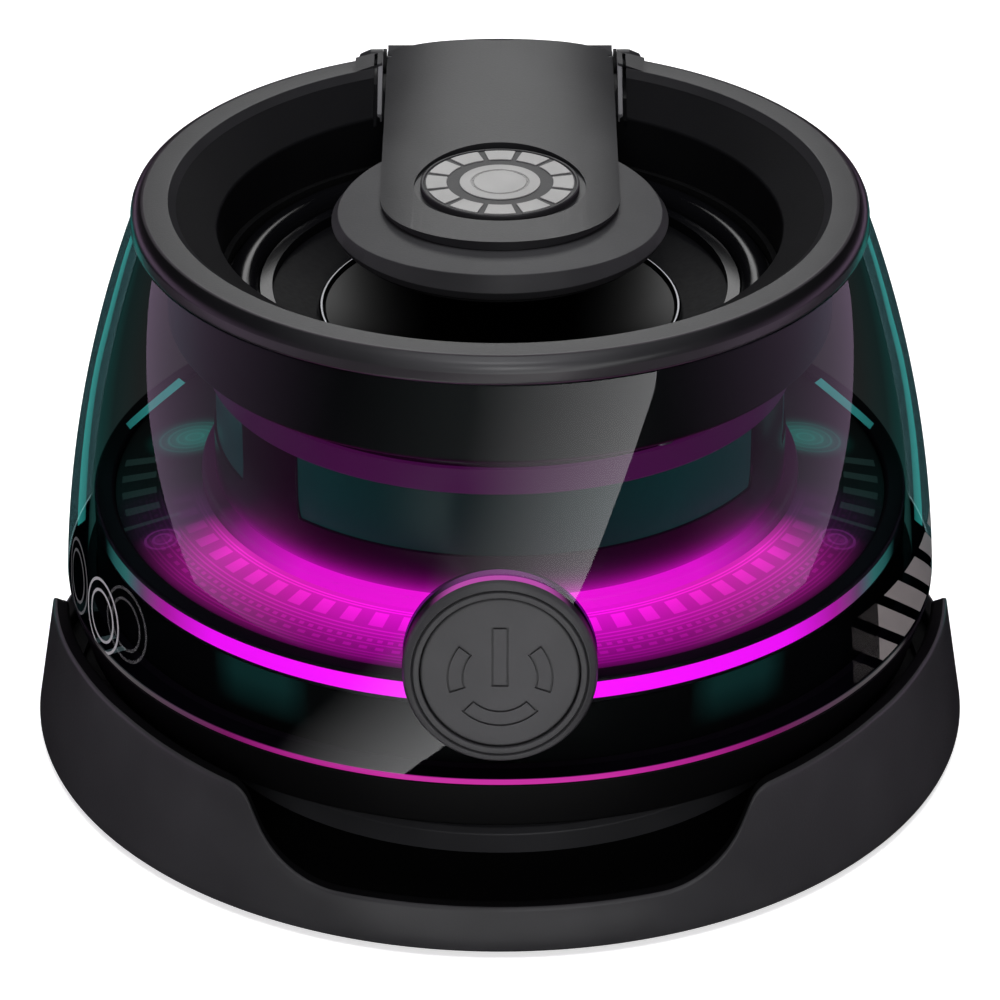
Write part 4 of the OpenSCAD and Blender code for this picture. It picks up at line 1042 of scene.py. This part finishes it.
def makeArm():
    f, h = armForm, hingePlace
    clearSelection()
    bpy.ops.mesh.primitive_circle_add(vertices=128, radius=f["half"] * mm, fill_type="NGON",
                                      location=(0, f["endY"] * mm, f["under"] * mm))
    arm = nameNew("arm_tongue")
    nothingPicked(arm, "VERT")
    for v in arm.data.vertices:
        v.select = v.co.y > (f["endY"] - 0.001) * mm
    setMode("EDIT")
    # the rear half of the circle becomes the straight end at the hinge
    bpy.ops.transform.resize(value=(1, 0, 1), center_override=(0, f["endY"] * mm, 0))
    bpy.ops.transform.translate(value=(0, (h["y"] - f["endY"]) * mm, 0))
    bpy.ops.mesh.select_all(action="SELECT")
    raised((0, 0, 5))
    # barrel, thicker in the middle
    xs = [f["half"] * (1 - 2 * i / f["stations"]) for i in range(f["stations"] + 1)]
    belly = [(f["barrel"][0] - (f["barrel"][0] - f["barrel"][1]) * (x / f["half"]) ** 2, x) for x in xs]
    barrel = turned("tool", [(0, -f["half"]), (0, f["half"])] + belly, 96)
    shaped(arm, placed(barrel, (0, h["y"], h["z"]), (0, 90, 0)), "UNION")
    # crowned top
    clearSelection()
    rows = f["rows"]
    bpy.ops.mesh.primitive_grid_add(x_subdivisions=64, y_subdivisions=len(rows) - 1, size=1)
    crown = nameNew("tool")
    for v in crown.data.vertices:
        x, y = v.co.x * f["crownWidth"], rows[round((v.co.y + 0.5) * (len(rows) - 1))]
        v.co = Vector((x, y, crownHeight(x, y))) * mm
    startEdit()
    raised((0, 0, -8))
    shaped(arm, crown, "INTERSECT")
    shaped(arm, rod("tool", f["recess"] / 2, (0, f["badgeY"], f["badgeFloor"]), (0, f["badgeY"], 70), 128))
    shaped(arm, rod("tool", f["pinHole"], (-20, h["y"], h["z"]), (20, h["y"], h["z"]), 48))
    softEdges(arm, 0.3, 60, 3)
    fitted(arm, "phone_arm", softTouchAbs, ["arm"], 18)
    # a band round the back of each end of the barrel
    r0, r1, x0, x1 = f["band"]
    bands = [turned(name, boxOutline(r0, r1, x0, x1), 32, f["bandSweep"], side * f["bandTowards"])
             for name, side in (("barrel_bands", -1), ("band", 1))]
    for piece, side in zip(bands, (-1, 1)):
        placed(piece, (0, h["y"], h["z"]), (0, side * 90, 0))
    bands = joined(bands[0], bands[1:])
    fitted(softEdges(bands, 0.12, 55, 2), "phone_arm", holderAbs)


makeArm()

holderForm = {"y": -0.6, "low": 54.4, "top": (16.1, 57.12), "foot": (16.7, 55.4), "fall": 0.9,
              "pocket": (8.6, 14.6, 56.0), "stations": 12}


def makeHolder():
    f = holderForm
    (p0, p1, deep), (flat, top) = f["pocket"], f["top"]
    n = f["stations"]
    holder = turned("holder_disc", [
        (0, f["low"]), (p0, f["low"]), (p0, deep), (p1, deep), (p1, f["low"]), (flat, f["low"], 0.3),
        (*f["foot"], 0.15), (flat, top, 0.12)] + [(flat * (1 - i / n), top) for i in range(1, n + 1)])
    for v in holder.data.vertices:  # the top falls away to both sides
        if v.co.z > (top - 0.3) * mm:
            v.co.z -= f["fall"] * (v.co.x / mm / flat) ** 2 * mm
    placed(holder, (0, f["y"], 0))
    fitted(holder, "phone_arm", holderAbs, ["magnet_holder"], 20)


makeHolder()

badgeForm = {"thick": 0.68, "segments": 12, "segmentShare": 0.82, "ring": (5.3, 7.35), "disc": 4.0,
             "groove": (2.6, 2.9), "relief": 0.12}


def makeBadge():
    # a plain silver disc in a ring of twelve silver bars on dark grey
    f, z = badgeForm, armForm["badgeFloor"]
    radius, top = armForm["badge"] / 2, z + f["thick"] - f["relief"]
    ground = turned("badge_ground", [(0, z), (radius, z), (radius, z + f["thick"], 0.15),
                                     (radius - 0.3, z + f["thick"]), (radius - 0.4, top), (0, top)], 192)
    placed(ground, (0, armForm["badgeY"], 0))
    fitted(ground, "phone_arm", badgeGround, ["badge"])
    high = top + f["relief"]
    step = 360 / f["segments"]
    bar = turned("badge_marks", boxOutline(*f["ring"], top - 0.02, high), 12, step * f["segmentShare"])
    bars = [copied(bar, "bar", step * i) for i in range(1, f["segments"])]
    disc = turned("disc", [(0, top - 0.02), (f["disc"], top - 0.02), (f["disc"], high), (f["groove"][1], high),
                           (f["groove"][1], top), (f["groove"][0], top), (f["groove"][0], high), (0, high)], 128)
    marks = joined(bar, bars + [disc])
    softEdges(marks, 0.03, 50, 1)
    placed(marks, (0, armForm["badgeY"], 0))
    fitted(marks, "phone_arm", badgeSilver)


makeBadge()
print("arm ready")

# power button: ring, cap and sunk sign

buttonForm = {"ring": 9.15, "groove": 8.24, "bore": 7.57, "hole": 2.25, "stop": -3.4, "cap": 7.45, "capTop": -0.25,
              "capLow": -1.6, "stem": 2.15, "stemLow": -3.8, "barb": 2.6, "signDepth": 0.3, "signGroove": 0.2,
              "signRadius": 4.2, "stroke": 1.4, "bar": (-0.9, 4.9), "drop": 0.4,
              "arcs": ((10.5, 57), (169.5, 57), (270, 90)),
              "seal": [(8.6, -3.3), (9.1, -3.3, 0.1), (9.1, -2.4, 0.1), (8.6, -2.4)]}


def toButton(piece):
    return placed(piece, buttonPlace["face"], (buttonPlace["tilt"], 0, 0))


def offButton(point):
    # distance from the button's axis and height over its face, in mm
    tilt = math.radians(buttonPlace["tilt"])
    axis = Vector((0, -math.sin(tilt), math.cos(tilt)))
    gap = Vector(point) / mm - Vector(buttonPlace["face"])
    return (gap - axis * gap.dot(axis)).length, gap.dot(axis)


sealPaintedRingGlow = {"height": (35.4, 37.8), "level": 0.9}


def sealSiliconePaintedGlow():
    # silicone with a painted pink glow of the ring's light, over the button's upper edge
    material, add, shader = newMaterial("silicone_seal_painted_ring_glow", Roughness=0.45, Base_Color="#0b090b",
                                        Emission_Color="#be50af")
    height = roundTheAxis(add)[3]
    level = add("MapRange", height, *sealPaintedRingGlow["height"], 0, sealPaintedRingGlow["level"], interpolation_type="SMOOTHSTEP")
    feed(shader, {"Emission Strength": level})
    return material


def makeButton():
    f = buttonForm
    ring = turned("button_bezel", [
        (f["hole"], f["stop"]), (f["ring"], f["stop"]), (f["ring"], -0.75), (f["ring"] - 0.25, -0.25, 0.3),
        (f["groove"] + 0.15, 0, 0.06), (f["groove"], -0.3), (f["groove"] - 0.15, 0, 0.06), (f["bore"], 0, 0.1),
        (f["bore"], f["stop"] + 0.8), (f["hole"], f["stop"] + 0.8)])
    fitted(toButton(ring), "housing", bezelAbs, ["button_ring"])
    seal = sealSiliconePaintedGlow()

    def isOuterWall(face):
        reach, depth = offButton(face.center)
        return reach > f["ring"] - 0.1 and depth < -0.7

    # the bezel's outer wall gets the same painted pink glow
    painted(ring, seal, isOuterWall)
    gasket = turned("button_seal", f["seal"], 160)
    fitted(toButton(gasket), "housing", seal, ["button_gasket"])
    cap = turned("button_face", [
        (0, f["stemLow"]), (f["barb"], f["stemLow"]), (f["barb"], f["stemLow"] + 0.35),
        (f["stem"], f["stemLow"] + 0.35), (f["stem"], f["capLow"]), (f["cap"], f["capLow"]),
        (f["cap"], f["capTop"], 0.25), (0, f["capTop"])])
    pick(cap)
    startEdit()
    bpy.ops.mesh.dissolve_limited(angle_limit=math.radians(0.5))
    setMode("OBJECT")
    # each shape of the sign is sunk, and filled again but for a thin groove
    low = f["capTop"] - f["signDepth"]
    for grow, high in ((f["signGroove"] / 2, f["capTop"] + 1), (-f["signGroove"] / 2, f["capTop"])):
        half = f["stroke"] / 2 + grow
        near, far = f["bar"][0] - f["drop"] - grow, f["bar"][1] - f["drop"] + grow
        shapes = [block("sign", (-half, near, low), (half, far, high))]
        for towards, span in f["arcs"]:
            outline = boxOutline(f["signRadius"] - half, f["signRadius"] + half, low, high)
            arc = turned("sign", outline, 24, span + 2 * math.degrees(grow / f["signRadius"]), towards + 90)
            shapes.append(placed(arc, (0, -f["drop"], 0)))
        if grow > 0:
            for shape in shapes:
                shaped(cap, shape)
        else:
            joined(cap, shapes)
    fitted(toButton(cap), "power_button", buttonAbs, ["button_cap"])


makeButton()
switchForm = {"radius": 4.8, "thick": 1, "place": (0, -35.92, 28.78), "tilt": 81.26}
board = turned("switch_board", boxOutline(0, switchForm["radius"], 0, switchForm["thick"]), 96)
fitted(placed(board, switchForm["place"], (switchForm["tilt"], 0, 0)), "housing", matteBlackAbs,
       ["button_board"])
print("button ready")

# finishes of the pieces kept from the frame

nodeFinishes = {
    pitchAbsAndPaintedShade: ["base_plate"], matteBlackAbs: ["hinge_washers"], blackRubber: ["foot_ring", "face_pad"],
    screwSteel: ["base_screws", "board_screws", "cup_screws", "arm_screws"],
    nickelSteel: ["radiator_plate", "usb_socket", "radio_module", "driver_yoke", "driver_top_plate", "arm_magnets"],
    solderMask: ["charge_board", "lamp_board", "main_board"], lampPackage: ["lamps"], darkAbs: ["cell_tray"],
    cellFoil: ["battery_cell"], chipEpoxy: ["board_parts", "tact_switch"], ferrite: ["driver_magnet"],
    framePaint: ["driver_frame", "hinge_pin"], spiderCloth: ["spider"], coilCopper: ["voice_coil"],
    foamBlack: ["frame_gasket"], washerNylon: ["switch_plunger"]}
for finish, names in nodeFinishes.items():
    for name in names:
        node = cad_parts[name]
        node.data.materials.clear()
        node.data.materials.append(finish)
print("carried-over pieces finished")

# floor, light and camera

stageForm = {"floor": 6.0, "floorColour": "#e9e9ea", "floorGlow": 0.6, "ambient": 0.1, "tent": 0.4, "aim": (0, 0, 0.03)}


def seenDirectly(add):
    # 1 for what the camera sees itself, in gloss or through clear plastic
    ray = add("LightPath").node.outputs
    seen = add("Math MAXIMUM", ray["Is Camera Ray"], ray["Is Glossy Ray"])
    return add("Math MAXIMUM", seen, ray["Is Transmission Ray"])


def makeFloor():
    # painted studio floor that stays white behind the object and keeps its shadow
    clearSelection()
    bpy.ops.mesh.primitive_circle_add(vertices=96, radius=stageForm["floor"], fill_type="NGON",
                                      location=(0, 0, -0.0002))
    floor = nameNew("floor")
    material, add, shader = newMaterial("white_painted_floor", Roughness=0.9, Specular_IOR_Level=0.1,
                                        Base_Color=stageForm["floorColour"], Emission_Color=(1, 1, 1, 1))
    feed(shader, {"Emission Strength": add("Math MULTIPLY", seenDirectly(add), stageForm["floorGlow"])})
    floor.data.materials.append(material)


def makeWorld():
    world = bpy.data.worlds.new("studio")
    world.use_nodes = True
    add = partial(addNode, world.node_tree)
    level = add("MapRange", seenDirectly(add), 0, 1, stageForm["ambient"], 1)
    feed(world.node_tree.nodes["Background"], {"Color": (1, 1, 1, 1), "Strength": level})
    bpy.context.scene.world = world


def onlyInGloss(piece):
    # studio cards and flags work in reflections alone and cast no shadow
    piece.visible_camera = False
    piece.visible_diffuse = False
    piece.visible_transmission = False
    piece.visible_shadow = False


def makeFlags():
    # a black tent and a black cloth round the object keep the white floor out of its dark gloss
    material = newMaterial("black_velvet", Roughness=1, Specular_IOR_Level=0, Base_Color=(0, 0, 0, 1))[0]
    clearSelection()
    bpy.ops.mesh.primitive_uv_sphere_add(segments=48, ring_count=24, radius=stageForm["tent"])
    tent = nameNew("flag_tent")
    clearSelection()
    bpy.ops.mesh.primitive_circle_add(vertices=96, radius=stageForm["tent"], fill_type="NGON", location=(0, 0, -0.0001))
    cloth = nameNew("flag_cloth")
    for piece in (tent, cloth):
        piece.data.materials.append(material)
        onlyInGloss(piece)


def reflectCard(name, shape, colour, strength, fade):
    # a glowing card seen in reflections, bright along one side; shape gives a point in mm for two shares
    clearSelection()
    bpy.ops.mesh.primitive_grid_add(x_subdivisions=24, y_subdivisions=16, size=1)
    card = nameNew(name)
    for v in card.data.vertices:
        v.co = Vector(shape(v.co.x + 0.5, v.co.y + 0.5)) * mm
    material, add, shader = newMaterial(name + "_light", Roughness=1, Specular_IOR_Level=0, Base_Color=(0, 0, 0, 1),
                                        Emission_Color=colour)
    share = add("SeparateXYZ", add("TexCoord", out="UV"))
    share = add("Math POWER", share, fade)
    feed(shader, {"Emission Strength": add("Math MULTIPLY", share, strength)})
    card.data.materials.append(material)
    onlyInGloss(card)


def swung(point, degrees):
    a = math.radians(degrees)
    return (point[0] * math.cos(a) - point[1] * math.sin(a), point[0] * math.sin(a) + point[1] * math.cos(a), point[2])


def pathPoint(points, share):
    at = min(share, 0.9999) * (len(points) - 1)
    k = int(at)
    return tuple(a + (b - a) * (at - k) for a, b in zip(points[k], points[k + 1]))


glareEdge = ((-29, -64, 0.3), (-24, -76, 0.3), (-16.5, -92.5, 0.3), (38.8, -134.5, 21.6), (62, -125.5, 45.8),
             (78.5, -116, 61.7), (89.4, -107.7, 71.5), (100.7, -97.3, 86))
tealPath = ((-74, 34), (-80, 48), (-86, 67), (-92, 86), (-107, 112), (-116, 140), (-124, 172), (-131, 208))
cardForm = {"glareTurn": (20, 32), "sheet": (140, 40), "sheetTurn": (32, 1.1), "sheetRise": (0.5, 75),
            "tealHalf": (5.5, 6), "tealFoot": 0.3}
# for the front of the rim, the lip of the base, the holder's edge and the rounded edges
smallCards = (("rim_card", ((-12, -235, 0.4), (44, -160, 0.4)), 5),
              ("lip_card", ((-22, -70, 0.4), (22, -52, 0.4)), 0.8),
              ("holder_card", ((-12, -160, 70), (32, -160, 130)), 3),
              ("over_card", ((-50, -200, 330), (50, -130, 330)), 3))


def makeCards():
    f = cardForm

    def glare(u, v):
        turn, grow = f["glareTurn"]
        return swung(pathPoint(glareEdge, v), -(1 - u) * (turn + grow * v))

    reflectCard("front_card", glare, "#ffffff", 2.0, 1.25)
    for side, name in ((-1, "left"), (1, "right")):
        def purple(u, v):
            (radius, start), (span, grow), (foot, rise) = f["sheet"], f["sheetTurn"], f["sheetRise"]
            z = foot + rise * v
            turn = math.radians(side * (start + u * (span + grow * z)))
            return (radius * math.sin(turn), -radius * math.cos(turn), z)

        def teal(u, v):
            x, y = pathPoint(tealPath, v)
            wide = f["tealHalf"][0] + f["tealHalf"][1] * v
            return (-side * (x - wide + 2 * wide * u), y, f["tealFoot"])

        reflectCard(name + "_card", purple, "#e3bfe9", 1.35, 1.4)
        reflectCard(name + "_teal_card", teal, "#4ff0e6", 1.35, 0.2)
    for name, (low, high), strength in smallCards:
        def flat(u, v):
            return [a + (b - a) * t for a, b, t in zip(low, high, (u, v, v))]

        reflectCard(name, flat, "#ffffff", strength, 0)


def softbox(name, where, size, watts, colour="#ffffff", gloss=False):
    clearSelection()
    bpy.ops.object.light_add(type="AREA", location=where)
    lamp = bpy.context.object
    lamp.name = name
    lamp.data.shape = "RECTANGLE"
    lamp.data.size, lamp.data.size_y = size
    lamp.data.energy = watts
    lamp.data.color = linearColour(colour)[:3]
    lamp.rotation_euler = (Vector(stageForm["aim"]) - Vector(where)).to_track_quat("-Z", "Y").to_euler()
    lamp.visible_camera = False
    lamp.visible_glossy = gloss


makeFloor()
makeWorld()
makeFlags()
makeCards()
softbox("top_softbox", (0, 0.05, 1.0), (0.7, 0.7), 9)
softbox("rear_softbox", (0, 0.26, 0.21), (0.13, 0.09), 0.088, gloss=True)  # the streak on the arm
softbox("front_softbox", (0, -0.9, 0.45), (0.3, 0.4), 2.4)
for x, name in ((-0.8, "left_softbox"), (0.8, "right_softbox")):
    softbox(name, (x, -0.2, 0.3), (0.3, 0.5), 0.65, "#e3bfe9")

cameraForm = {"place": (0, -0.395284, 0.244663), "tilt": 60.7275, "lens": 158.78}
clearSelection()
bpy.ops.object.camera_add(location=cameraForm["place"], rotation=(math.radians(cameraForm["tilt"]), 0, 0))
camera = bpy.context.object
camera.name = "photo_camera"
camera.data.lens = cameraForm["lens"]
camera.data.clip_start = 0.01
bpy.context.scene.camera = camera
bpy.context.scene.view_settings.view_transform = "Standard"
print("stage ready")
